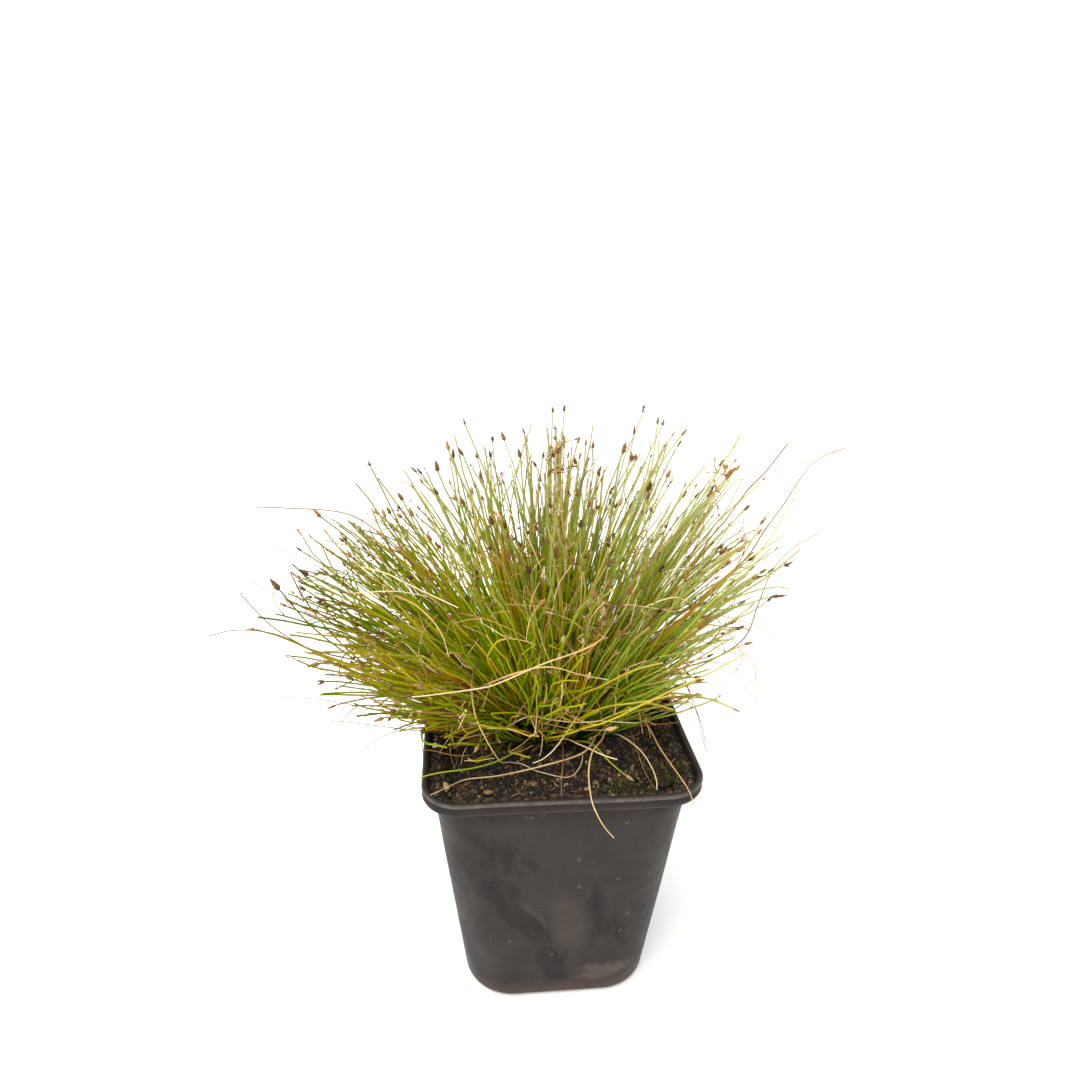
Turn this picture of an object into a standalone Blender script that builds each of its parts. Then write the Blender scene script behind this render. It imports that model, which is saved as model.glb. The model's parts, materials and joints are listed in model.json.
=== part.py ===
"""Potted fiber optic grass: a clump of fine rush-like stems in a square nursery pot.

Metres, +Z up. The origin is the middle of the pot's flat underside, and the
pot's front faces -Y. The pot stands on its underside.

The pot is one moulded piece, a loft of rounded squares. It holds a block of
peat, and the matted crown of the plant sits on the peat. Every tuft is a lock
of three stems that share one sheath, each stem with its flower spike at the
tip. Tufts stand on the crown and fan out from it, steep in the middle and
nearly level at the sides. Long dry stems stray out of the clump, and a stone,
a perlite bead, scraps of bark and two cushions of moss lie round it.
"""

import math
import random

import bpy
import bmesh
from mathutils import Vector

MM = 0.001

# Space left between pieces that touch
GAP = 0.3 * MM

# Pot, a stock 9 cm square one
POT_WIDTH = 90 * MM
POT_HEIGHT = 95 * MM
RIM_CORNER = 12.7 * MM
RIM_TOP_WIDTH = 1.9 * MM
RIM_EDGE = 0.6 * MM
BAND_HEIGHT = 4.4 * MM
SHOULDER_DEPTH = 3.3 * MM
BODY_TOP_HALF = 41.4 * MM
BODY_TOP_CORNER = 12.3 * MM
BASE_HALF = 33.1 * MM
BASE_CORNER = 17.4 * MM
BASE_EDGE = 2.9 * MM
WALL = 1.1 * MM
FLOOR = 1.6 * MM
CORNER_STEPS = 6
DRAIN_RADIUS = 3.5 * MM
DRAIN_CIRCLE = 21 * MM
DRAIN_COUNT = 8

# Peat
SOIL_TOP = 85.6 * MM
SOIL_RELIEF = 0.9 * MM
SOIL_SHRINK = 0.9 * MM
SOIL_RINGS = 7
SOIL_CORNER_STEPS = 3
SOIL_SIDE_STEPS = 4

# Crown, half an ellipsoid that sits on the peat
CROWN_CENTRE = Vector((-1 * MM, 11 * MM))
CROWN_HALF_X = 25 * MM
CROWN_HALF_Y = 20 * MM
CROWN_RISE = 8 * MM
CROWN_SEAT = 87 * MM
CROWN_SIDES = 20
CROWN_RINGS = 4

# Tufts
TUFT_COUNT = 35
TUFT_STEMS = 3
TUFT_REACH = 0.93
TUFT_SPREAD = math.radians(6.5)
SHEATH_RADIUS = 1.7 * MM
SHEATH_TOP_RADIUS = 1.3 * MM
SHEATH_LENGTH = 4 * MM
STEM_RADIUS = 0.62 * MM
STEM_TIP_RADIUS = 0.42 * MM
SPIKE_RADIUS = 1.1 * MM
SPIKE_LENGTH = 4.2 * MM
STEM_STEPS = 3
BOWED_STEM_STEPS = 4
BOWED_LEAN = math.radians(50)
LENGTH_UPRIGHT = 110 * MM
LENGTH_LOST_LYING = 45 * MM
LEAN_SIDES = math.radians(84)
LEAN_FRONT = math.radians(52)
LEAN_BACK = math.radians(70)

# Dry stems that stray out of the clump
STRAY_RADIUS = 0.5 * MM
STRAY_TIP_RADIUS = 0.3 * MM
STRAY_STEPS = 11

# Where the strays run, in millimetres, from the crown to the tip
STRAY_ROUTES = {
    "stray_front": (
        (19, -1, 89.1), (17.9, -8, 96.1), (14.1, -21.5, 100.3), (9.1, -33, 103.9), (7, -40, 101.6),
        (7.1, -45.3, 96.7), (8.3, -47.2, 92.9), (11, -48, 87.5), (14.2, -48, 82.9)),
    "stray_front_right": (
        (21, 1, 88.2), (25, -5, 97.5), (30, -14, 100.6), (32.3, -28.4, 100),
        (36, -40.5, 98), (37.6, -44.8, 96.4), (38.7, -46.8, 93)),
    "stray_soil": (
        (14, -5, 89), (13.8, -11, 94), (7.8, -20.1, 94), (-6.6, -22.8, 91.5), (-20.1, -25.1, 90.5),
        (-30.9, -27.6, 91.5), (-36.9, -34.5, 94), (-41.3, -40.3, 96.4)),
    "stray_left_low": (
        (-23, 8, 91.5), (-32.8, 5.8, 102), (-48.7, 2.7, 113), (-65.5, -1.5, 121.5), (-79, -5.7, 128.5),
        (-89.4, -9.8, 137), (-99.7, -14, 141.1), (-106.9, -18, 141.4)),
    "stray_left_high": (
        (-15, 12, 94.7), (-28, 9, 125), (-45, 4, 153), (-57.5, 0, 168),
        (-66.3, -5, 175.5), (-80.9, -12, 179.7), (-89.2, -14, 180.9)),
    "stray_right_high": (
        (17, 16, 93.5), (35, 19.7, 110), (58, 21.3, 129), (72.1, 21, 145.5), (76.6, 18.7, 156.3),
        (81.5, 16.3, 167), (88.2, 12, 183.2), (97, 8, 189.7)),
    "stray_right_low": (
        (21.5, 12, 91.4), (45, 16.7, 101), (64, 20.3, 105), (75, 21, 113), (77, 16.7, 128.8),
        (79.3, 14.3, 142), (83.5, 10, 152.8), (92.2, 6, 161)),
}

# Small things lying on the peat: middle, half sizes in millimetres, and a seed
LUMPS_ON_PEAT = {
    "tan_stone": ((-37.1, -25.5), (1.6, 1.4, 1.3), 1),
    "bark_scrap": ((-0.5, -32.6), (5.0, 1.8, 0.9), 2),
    "bark_chip": ((-23.8, -29.0), (2.2, 1.4, 0.9), 3),
    "moss_cushion_right": ((34, -26), (4.8, 6.2, 1.6), 4),
    "moss_cushion_left": ((20, -32), (7.0, 4.0, 1.3), 5),
}
BEAD_PLACE = (-41.2 * MM, -11 * MM)
BEAD_RADIUS = 1.1 * MM

GOLDEN_ANGLE = math.pi * (3 - math.sqrt(5))


def clear_scene():
    """Remove every object, so that the model starts from nothing."""
    for item in list(bpy.data.objects):
        bpy.data.objects.remove(item, do_unlink=True)


def make_collection(name):
    """A new collection in the scene."""
    collection = bpy.data.collections.new(name)
    bpy.context.scene.collection.children.link(collection)
    return collection


def make_material(name, colour, roughness):
    """A plain Principled material; colour is linear red, green, blue."""
    material = bpy.data.materials.new(name)
    material.use_nodes = True
    shader = material.node_tree.nodes["Principled BSDF"]
    shader.inputs["Base Color"].default_value = (*colour, 1)
    shader.inputs["Roughness"].default_value = roughness
    shader.inputs["Metallic"].default_value = 0
    material.diffuse_color = (*colour, 1)
    return material


def make_object(name, mesh, collection, material, location=(0, 0, 0), parent=None):
    """An object that shows mesh, in one material."""
    item = bpy.data.objects.new(name, mesh)
    collection.objects.link(item)
    item.location = location
    item.parent = parent
    mesh.materials.clear()
    mesh.materials.append(material)
    return item


def finish_mesh(name, shape, smooth_angle=math.radians(40)):
    """Turn a bmesh into a mesh with its faces out and its soft edges smooth."""
    bmesh.ops.recalc_face_normals(shape, faces=shape.faces[:])
    mesh = bpy.data.meshes.new(name)
    shape.to_mesh(mesh)
    shape.free()
    mesh.shade_smooth()
    mesh.set_sharp_from_angle(angle=smooth_angle)
    return mesh


def rounded_square(half, corner, z, corner_steps=CORNER_STEPS, side_steps=1):
    """Points round a square of half width half, anticlockwise from above."""
    points = []
    for side in range(4):
        start = side * math.pi / 2
        turn = Vector((math.cos(start), math.sin(start)))
        across = Vector((-turn.y, turn.x))
        middle = (half - corner) * (turn + across)
        for step in range(corner_steps + 1):
            angle = start + step / corner_steps * math.pi / 2
            x = middle.x + corner * math.cos(angle)
            y = middle.y + corner * math.sin(angle)
            points.append(Vector((x, y, z)))
        last = points[-1]
        for step in range(1, side_steps):
            back = 2 * (half - corner) * step / side_steps
            points.append(last - back * turn.to_3d())
    return points


def skin_rings(shape, rings):
    """Faces from each ring of points to the next, and a lid on both ends."""
    loops = [[shape.verts.new(point) for point in ring] for ring in rings]
    count = len(loops[0])
    for near, far in zip(loops, loops[1:]):
        for index in range(count):
            after = (index + 1) % count
            shape.faces.new((near[index], near[after], far[after], far[index]))
    shape.faces.new(loops[0])
    shape.faces.new(loops[-1])


def body_half(z):
    """Half width of the pot's outer wall at height z."""
    part = (z - BASE_EDGE) / (POT_HEIGHT - BAND_HEIGHT - BASE_EDGE)
    return BASE_HALF + part * (BODY_TOP_HALF - BASE_HALF)


def body_corner(z):
    """Corner radius of the pot's outer wall at height z."""
    part = (z - BASE_EDGE) / (POT_HEIGHT - BAND_HEIGHT - BASE_EDGE)
    return BASE_CORNER + part * (BODY_TOP_CORNER - BASE_CORNER)


def pot_stations():
    """Half width, corner radius and height of each ring of the pot.

    They run from the underside up the outside, over the rim and down the
    inside to the floor. The band under the rim steps outwards, and leaves a
    narrow ledge inside.
    """
    rim = POT_WIDTH / 2
    band_low = POT_HEIGHT - BAND_HEIGHT
    ledge = POT_HEIGHT - SHOULDER_DEPTH
    inner = rim - RIM_TOP_WIDTH
    stations = []
    for step in range(3):
        angle = step / 2 * math.pi / 2
        inset = BASE_EDGE * (1 - math.sin(angle))
        z = BASE_EDGE * (1 - math.cos(angle))
        stations.append((BASE_HALF - inset, BASE_CORNER - inset, z))
    middle = POT_HEIGHT / 2
    stations += [
        (body_half(middle), body_corner(middle), middle),
        (BODY_TOP_HALF, BODY_TOP_CORNER, band_low),
        (rim - 0.3 * MM, RIM_CORNER, band_low),
        (rim, RIM_CORNER, band_low + 0.4 * MM),
        (rim, RIM_CORNER, POT_HEIGHT - RIM_EDGE),
        (rim - RIM_EDGE, RIM_CORNER - RIM_EDGE, POT_HEIGHT),
        (inner + RIM_EDGE / 2, RIM_CORNER - RIM_TOP_WIDTH, POT_HEIGHT),
        (inner, RIM_CORNER - RIM_TOP_WIDTH, POT_HEIGHT - RIM_EDGE / 2),
        (inner - 0.4 * MM, RIM_CORNER - RIM_TOP_WIDTH, ledge + 0.5 * MM),
        (inner - 0.8 * MM, RIM_CORNER - RIM_TOP_WIDTH, ledge),
        (body_half(ledge) - WALL + 0.4 * MM, BODY_TOP_CORNER - WALL, ledge),
        (body_half(ledge) - WALL, BODY_TOP_CORNER - WALL, ledge - 0.6 * MM),
        (body_half(middle) - WALL, body_corner(middle) - WALL, middle),
        (BASE_HALF - WALL, BASE_CORNER - WALL, FLOOR + BASE_EDGE - WALL),
        (BASE_HALF - BASE_EDGE, BASE_CORNER - BASE_EDGE, FLOOR),
    ]
    return stations


def make_pot(collection, cutters, material):
    """The pot, with drain holes cut through its floor."""
    shape = bmesh.new()
    skin_rings(shape, [rounded_square(*station) for station in pot_stations()])
    pot = make_object("pot", finish_mesh("pot", shape), collection, material)

    drills = bmesh.new()
    for index in range(DRAIN_COUNT):
        angle = index / DRAIN_COUNT * 2 * math.pi
        made = bmesh.ops.create_cone(
            drills, cap_ends=True, segments=10,
            radius1=DRAIN_RADIUS, radius2=DRAIN_RADIUS, depth=4 * FLOOR)
        place = Vector((math.cos(angle), math.sin(angle), 0)) * DRAIN_CIRCLE
        bmesh.ops.translate(drills, verts=made["verts"], vec=place)
    drill = make_object("drain_drills", finish_mesh("drain_drills", drills), cutters, material)
    drill.hide_render = True
    drill.display_type = "WIRE"

    cut = pot.modifiers.new("drain holes", "BOOLEAN")
    cut.operation = "DIFFERENCE"
    cut.solver = "EXACT"
    cut.object = drill
    return pot


def crown_place(reach, around, lift=0.0):
    """A point of the crown's surface, and the way it faces.

    reach runs from 0 at the top to 1 at the edge, around is an angle.
    """
    rise = math.sqrt(max(0.0, 1 - reach * reach))
    point = Vector((
        CROWN_HALF_X * reach * math.cos(around),
        CROWN_HALF_Y * reach * math.sin(around),
        CROWN_RISE * rise))
    normal = Vector((
        point.x / CROWN_HALF_X ** 2,
        point.y / CROWN_HALF_Y ** 2,
        point.z / CROWN_RISE ** 2)).normalized()
    foot = Vector((*CROWN_CENTRE, CROWN_SEAT + GAP))
    return foot + point + normal * lift, normal


def soil_height(x, y):
    """Height of the peat, flat under the crown and lower towards the wall."""
    offset_x = (x - CROWN_CENTRE.x) / (CROWN_HALF_X + 4 * MM)
    offset_y = (y - CROWN_CENTRE.y) / (CROWN_HALF_Y + 4 * MM)
    away = math.hypot(offset_x, offset_y)
    if away < 1:
        return CROWN_SEAT
    ripple = math.sin(x / (6 * MM)) * math.cos(y / (5 * MM) + 1)
    ripple += 0.6 * math.sin(x / (2.7 * MM) + 2) * math.sin(y / (3.1 * MM))
    rough = SOIL_TOP + SOIL_RELIEF * ripple / 1.6
    blend = min(1.0, (away - 1) / 0.3)
    return min(CROWN_SEAT, CROWN_SEAT + blend * (rough - CROWN_SEAT))


def make_soil(collection, material):
    """The block of peat that fills the pot to a centimetre below the rim."""
    low = FLOOR + GAP
    bend = FLOOR + BASE_EDGE
    shoulder = SOIL_TOP - 5 * MM
    edge = SOIL_TOP - 1.5 * MM
    inside = WALL + GAP
    stations = [
        (BASE_HALF - BASE_EDGE - GAP, BASE_CORNER - BASE_EDGE, low),
        (body_half(bend) - inside, body_corner(bend), bend),
        (body_half(shoulder) - inside, body_corner(shoulder), shoulder),
        (body_half(edge) - inside - SOIL_SHRINK / 2, body_corner(edge), edge),
    ]
    top_half = body_half(edge) - inside - SOIL_SHRINK
    for ring in range(SOIL_RINGS):
        share = 1 - ring / SOIL_RINGS
        stations.append((top_half * share, body_corner(edge) * share, None))
    rings = []
    for half, corner, z in stations:
        ring = rounded_square(half, corner, z or 0, SOIL_CORNER_STEPS, SOIL_SIDE_STEPS)
        if z is None:
            ring = [Vector((p.x, p.y, soil_height(p.x, p.y))) for p in ring]
        rings.append(ring)
    shape = bmesh.new()
    skin_rings(shape, rings)
    return make_object("soil", finish_mesh("soil", shape), collection, material)


def make_crown(collection, material):
    """The matted base that the stems grow from, lumpy and flat underneath."""
    lumps = random.Random(11)
    rings = []
    for ring in range(CROWN_RINGS + 1):
        reach = math.cos(ring / (CROWN_RINGS + 0.5) * math.pi / 2)
        points = []
        for side in range(CROWN_SIDES):
            around = side / CROWN_SIDES * 2 * math.pi
            sink = lumps.uniform(0, 0.5 * MM) if ring else 0
            points.append(crown_place(reach, around, -sink)[0])
        rings.append(points)
    shape = bmesh.new()
    skin_rings(shape, rings)
    return make_object("crown", finish_mesh("crown", shape), collection, material)


def largest_lean(around):
    """How far the outermost stems lean from upright, for an angle round the crown."""
    side = LEAN_BACK if math.sin(around) > 0 else LEAN_FRONT
    return LEAN_SIDES + (side - LEAN_SIDES) * math.sin(around) ** 2


def stem_length(lean):
    """Stems that lie low are shorter."""
    return LENGTH_UPRIGHT - LENGTH_LOST_LYING * (lean / LEAN_SIDES) ** 1.3


def stem_heading(around, lean):
    """The unit vector that leans from upright towards an angle."""
    return Vector((
        math.sin(lean) * math.cos(around),
        math.sin(lean) * math.sin(around),
        math.cos(lean)))


def stem_route(start, heading, length, steps):
    """Points along a stem that sets off steeper than heading and bows over past it."""
    around = math.atan2(heading.y, heading.x)
    lean = math.acos(max(-1.0, min(1.0, heading.z)))
    points = [start.copy()]
    for step in range(steps):
        share = (step + 0.5) / steps
        bowed = lean * (0.72 + 0.56 * share)
        points.append(points[-1] + stem_heading(around, bowed) * (length / steps))
    return points


def tube_mesh(name, points, radii):
    """A closed tube along points, each with its own radius, with welded ends."""
    curve = bpy.data.curves.new(name, "CURVE")
    curve.dimensions = "3D"
    curve.bevel_depth = 1
    curve.bevel_resolution = 0
    curve.use_fill_caps = True
    spline = curve.splines.new("POLY")
    spline.points.add(len(points) - 1)
    for knot, point, radius in zip(spline.points, points, radii):
        knot.co = (*point, 1)
        knot.radius = radius
    holder = bpy.data.objects.new(name, curve)
    bpy.context.scene.collection.objects.link(holder)
    view = bpy.context.evaluated_depsgraph_get()
    mesh = bpy.data.meshes.new_from_object(holder.evaluated_get(view))
    bpy.data.objects.remove(holder, do_unlink=True)
    bpy.data.curves.remove(curve)
    shape = bmesh.new()
    shape.from_mesh(mesh)
    bmesh.ops.remove_doubles(shape, verts=shape.verts[:], dist=0.01 * MM)
    bmesh.ops.recalc_face_normals(shape, faces=shape.faces[:])
    shape.to_mesh(mesh)
    shape.free()
    return mesh


def add_spike(points, radii):
    """Carry a stem on into its flower spike, a belly and a blunt tip."""
    tip = points[-1]
    along = (points[-1] - points[-2]).normalized()
    points += [tip + along * SPIKE_LENGTH * part for part in (0.4, 1.0)]
    radii += [SPIKE_RADIUS, SPIKE_RADIUS * 0.25]


def stem_mesh(name, start, heading, length):
    """One stem that thins towards its tip and ends in a spike."""
    steps = BOWED_STEM_STEPS if heading.z < math.cos(BOWED_LEAN) else STEM_STEPS
    points = stem_route(start, heading, length - SPIKE_LENGTH, steps)
    radii = []
    for step in range(len(points)):
        share = step / (len(points) - 1)
        radii.append(STEM_RADIUS + share * (STEM_TIP_RADIUS - STEM_RADIUS))
    add_spike(points, radii)
    return tube_mesh(name, points, radii)


def sheath_mesh(name, heading):
    """The short cone that a tuft's stems share, standing on the crown."""
    shape = bmesh.new()
    turn = heading.to_track_quat("Z", "Y").to_matrix().to_4x4()
    bmesh.ops.create_cone(
        shape, cap_ends=True, segments=6, radius1=SHEATH_RADIUS,
        radius2=SHEATH_TOP_RADIUS, depth=SHEATH_LENGTH, matrix=turn)
    bmesh.ops.translate(shape, verts=shape.verts[:], vec=heading * SHEATH_LENGTH / 2)
    return finish_mesh(name, shape)


def join_meshes(name, base, others):
    """Union of a base mesh and others, which don't touch each other."""
    view_layer = bpy.context.view_layer
    holder = bpy.data.objects.new(name, base)
    bpy.context.scene.collection.objects.link(holder)
    tools = []
    for other in others:
        tool = bpy.data.objects.new(name + "_stem", other)
        bpy.context.scene.collection.objects.link(tool)
        join = holder.modifiers.new("join", "BOOLEAN")
        join.operation = "UNION"
        join.solver = "EXACT"
        join.object = tool
        tools.append(tool)
    view_layer.update()
    view = bpy.context.evaluated_depsgraph_get()
    mesh = bpy.data.meshes.new_from_object(holder.evaluated_get(view))
    for item in [holder, *tools]:
        bpy.data.objects.remove(item, do_unlink=True)
    mesh.name = name
    mesh.shade_smooth()
    mesh.set_sharp_from_angle(angle=math.radians(50))
    return mesh


def make_tuft(number, collection, material, plant):
    """A lock of stems that stands on the crown, placed by its number."""
    pick = random.Random(100 + number)
    spread = math.sqrt((number + 0.5) / TUFT_COUNT)
    around = number * GOLDEN_ANGLE
    lean = math.acos(1 - (1 - math.cos(largest_lean(around))) * spread ** 2)
    heading = stem_heading(around, lean)
    first = stem_heading(around, lean * 0.72)
    foot, normal = crown_place(TUFT_REACH * spread, around)
    tilt = normal.angle(first)
    foot += normal * (GAP + SHEATH_RADIUS * math.sin(tilt) + 0.1 * MM)

    side = heading.orthogonal().normalized()
    other = heading.cross(side)
    stems = []
    twist = pick.uniform(0, 2 * math.pi)
    name = f"tuft_{number + 1:02d}"
    for index in range(TUFT_STEMS):
        angle = twist + index / TUFT_STEMS * 2 * math.pi
        away = side * math.cos(angle) + other * math.sin(angle)
        lane = (first.cross(away).cross(first)).normalized()
        start = first * SHEATH_LENGTH * 0.45 + lane * SHEATH_TOP_RADIUS * 0.5
        stem_way = (heading + away * TUFT_SPREAD).normalized()
        length = stem_length(lean) * pick.uniform(0.93, 1.04)
        stems.append(stem_mesh(name, start, stem_way, length))
    mesh = join_meshes(name, sheath_mesh(name, first), stems)
    return make_object(name, mesh, collection, material, foot, plant)


def smooth_route(points, count):
    """Points evenly along a smooth curve through the route's own points."""
    ends = [points[0] * 2 - points[1], *points, points[-1] * 2 - points[-2]]
    dense = []
    for index in range(len(points) - 1):
        before, here, there, after = ends[index:index + 4]
        for step in range(12):
            t = step / 12
            dense.append(0.5 * (
                here * 2 + (there - before) * t
                + (before * 2 - here * 5 + there * 4 - after) * t ** 2
                + (here * 3 - before - there * 3 + after) * t ** 3))
    dense.append(points[-1])
    travelled = [0.0]
    for near, far in zip(dense, dense[1:]):
        travelled.append(travelled[-1] + (far - near).length)
    route = []
    index = 0
    for step in range(count + 1):
        wanted = travelled[-1] * step / count
        while index < len(dense) - 2 and travelled[index + 1] < wanted:
            index += 1
        part = (wanted - travelled[index]) / (travelled[index + 1] - travelled[index])
        route.append(dense[index].lerp(dense[index + 1], part))
    return route


def make_stray(name, collection, material, plant):
    """A long dry stem along its route, from the crown out."""
    points = [Vector(point) * MM for point in STRAY_ROUTES[name]]
    foot = points[0]
    route = smooth_route([point - foot for point in points], STRAY_STEPS)
    radii = []
    for step in range(STRAY_STEPS + 1):
        share = step / STRAY_STEPS
        radii.append(STRAY_RADIUS + share * (STRAY_TIP_RADIUS - STRAY_RADIUS))
    mesh = tube_mesh(name, route, radii)
    mesh.name = name
    mesh.shade_smooth()
    return make_object(name, mesh, collection, material, foot, plant)


def highest_soil(soil, x, y, reach):
    """The highest point of the peat within reach of a place."""
    heights = []
    for corner in soil.data.vertices:
        if math.hypot(corner.co.x - x, corner.co.y - y) < reach:
            heights.append(corner.co.z)
    return max(heights)


def make_lump(name, centre, half_sizes, seed, collection, material):
    """A rough rounded lump, such as a stone, a scrap or a cushion of moss."""
    pick = random.Random(seed)
    shape = bmesh.new()
    bmesh.ops.create_icosphere(shape, subdivisions=2, radius=1)
    for corner in shape.verts:
        corner.co *= pick.uniform(0.85, 1.0)
        corner.co.x *= half_sizes[0]
        corner.co.y *= half_sizes[1]
        corner.co.z *= half_sizes[2]
    return make_object(name, finish_mesh(name, shape), collection, material, centre)


def make_lump_on_peat(name, soil, collection, material):
    """A lump of that name, set down on the peat."""
    (x, y), half_sizes, seed = LUMPS_ON_PEAT[name]
    half = [size * MM for size in half_sizes]
    reach = max(half[0], half[1]) + 3 * MM
    z = highest_soil(soil, x * MM, y * MM, reach) + GAP + half[2]
    return make_lump(name, (x * MM, y * MM, z), half, seed, collection, material)


def make_bead(collection, material):
    """The perlite bead that lies on the ledge inside the pot's band."""
    ledge = POT_HEIGHT - SHOULDER_DEPTH
    centre = (*BEAD_PLACE, ledge + GAP + BEAD_RADIUS)
    return make_lump("perlite_bead", centre, [BEAD_RADIUS] * 3, 6, collection, material)


def main():
    clear_scene()
    parts = make_collection("potted_fiber_optic_grass")
    cutters = make_collection("cutters")

    plastic = make_material("recycled pot plastic", (0.075, 0.066, 0.060), 0.5)
    peat = make_material("peat", (0.035, 0.024, 0.014), 0.95)
    mat = make_material("matted stem bases", (0.06, 0.055, 0.015), 0.9)
    greens = [
        make_material("green stem", (0.16, 0.22, 0.02), 0.5),
        make_material("bright green stem", (0.24, 0.30, 0.03), 0.5),
        make_material("yellowing stem", (0.36, 0.26, 0.03), 0.55),
    ]
    straw = make_material("dry stem", (0.42, 0.27, 0.15), 0.7)
    sandstone = make_material("tan stone", (0.45, 0.30, 0.16), 0.85)
    perlite = make_material("perlite", (0.8, 0.8, 0.78), 0.9)
    bark = make_material("bark scrap", (0.22, 0.10, 0.06), 0.9)
    moss = make_material("moss", (0.05, 0.07, 0.015), 0.95)

    make_pot(parts, cutters, plastic)
    soil = make_soil(parts, peat)
    make_crown(parts, mat)

    plant = bpy.data.objects.new("plant", None)
    parts.objects.link(plant)
    for number in range(TUFT_COUNT):
        make_tuft(number, parts, greens[number % 3], plant)
    for name in STRAY_ROUTES:
        make_stray(name, parts, straw, plant)

    make_lump_on_peat("tan_stone", soil, parts, sandstone)
    make_lump_on_peat("bark_scrap", soil, parts, bark)
    make_lump_on_peat("bark_chip", soil, parts, bark)
    make_lump_on_peat("moss_cushion_right", soil, parts, moss)
    make_lump_on_peat("moss_cushion_left", soil, parts, moss)
    make_bead(parts, perlite)


if __name__ == "__main__":
    main()
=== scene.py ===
"""Looks of a potted fiber optic grass: pot, peat, stems, flower spikes, moss and litter.

Metres, +Z up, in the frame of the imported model. The origin is the middle of
the pot's underside and its front faces -Y.
"""

import functools
import json
import math
import random

import bmesh
import bpy
from mathutils import Matrix, Vector, noise

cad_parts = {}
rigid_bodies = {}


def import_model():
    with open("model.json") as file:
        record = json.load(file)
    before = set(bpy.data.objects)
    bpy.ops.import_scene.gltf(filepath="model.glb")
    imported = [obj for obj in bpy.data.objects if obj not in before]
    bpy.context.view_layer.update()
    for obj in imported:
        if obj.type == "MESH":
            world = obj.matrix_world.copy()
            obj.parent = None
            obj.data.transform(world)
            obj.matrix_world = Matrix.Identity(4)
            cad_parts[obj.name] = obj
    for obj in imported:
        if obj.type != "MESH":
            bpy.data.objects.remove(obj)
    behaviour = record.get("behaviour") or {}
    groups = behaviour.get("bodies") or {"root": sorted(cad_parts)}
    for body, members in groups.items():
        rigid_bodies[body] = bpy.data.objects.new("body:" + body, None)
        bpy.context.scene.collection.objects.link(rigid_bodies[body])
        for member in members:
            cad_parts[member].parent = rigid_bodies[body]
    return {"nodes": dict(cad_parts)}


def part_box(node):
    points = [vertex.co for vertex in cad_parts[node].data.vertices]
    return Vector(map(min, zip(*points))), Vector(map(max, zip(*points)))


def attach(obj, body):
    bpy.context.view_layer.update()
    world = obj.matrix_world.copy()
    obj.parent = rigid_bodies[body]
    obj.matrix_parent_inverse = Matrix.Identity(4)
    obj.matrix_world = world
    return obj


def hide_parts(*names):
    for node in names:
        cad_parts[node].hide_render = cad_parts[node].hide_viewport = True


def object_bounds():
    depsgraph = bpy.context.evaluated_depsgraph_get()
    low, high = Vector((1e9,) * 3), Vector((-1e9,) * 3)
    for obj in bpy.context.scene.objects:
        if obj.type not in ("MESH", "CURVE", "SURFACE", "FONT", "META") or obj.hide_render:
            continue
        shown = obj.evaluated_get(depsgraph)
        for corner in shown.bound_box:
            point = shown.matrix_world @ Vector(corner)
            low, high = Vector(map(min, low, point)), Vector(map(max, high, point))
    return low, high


bl_info = {
    "name": "Potted fiber optic grass",
    "version": (1, 0, 0),
    "blender": (4, 5, 0),
    "location": "3D Viewport > Sidebar > Potted Grass",
    "description": "Dresses a small potted sedge: pot, peat, stems, flower spikes, moss and litter",
    "category": "Add Mesh",
}

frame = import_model()
cad_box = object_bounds()

MM = 0.001
POT_LOW, POT_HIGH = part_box("pot")
SOIL_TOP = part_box("soil")[1].z
CROWN_LOW, CROWN_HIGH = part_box("crown")
POT_WIDTH = POT_HIGH.x - POT_LOW.x
POT_HEIGHT = POT_HIGH.z

# The pot's wall, from the rim down to the underside
RIM_CORNER = 12.7 * MM
RIM_TOP_WIDTH = 1.9 * MM
RIM_EDGE = 0.75 * MM
BAND_HEIGHT = 4.4 * MM
SHOULDER_DEPTH = 3.3 * MM
BODY_TOP_HALF = 41.4 * MM
BODY_TOP_CORNER = 12.3 * MM
BASE_HALF = 33.1 * MM
BASE_CORNER = 17.4 * MM
BASE_EDGE = 2.9 * MM
FLOOR = 1.6 * MM
DRAIN_RADIUS = 3.5 * MM
DRAIN_CIRCLE = 21 * MM
DRAIN_COUNT = 8
WARP_SEED = 7
# Rings up the pot's wall, in millimetres and painted light: how far each stands out from the
# body and over the band's lower edge, then how far in from the rim and over that edge,
# then a painted highlight below 0 and painted shade above 0, darkest just under the band
BODY_TOP_RINGS = ((0, -1.3, 0.6), (0, -0.4, 1), (0.15, -0.1, 1), (0.6, 0.1, 1))
BAND_RINGS = (
    (0.7, 0.1, 0.8), (0.2, 0.3, -0.15), (0.05, 0.8, -0.1), (0.25, 1.7, 0.1), (0.5, 2.3, 0.3),
    (0.5, 2.7, 0.2), (0.25, 3.1, 0), (0, 3.4, -0.5))
# How far in front of the pot's middle a mark lies, as a share of the pot's width, and
# how far it reaches in and out
MARK_PLACE = 0.42
MARK_DEPTH = 18 * MM
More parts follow.
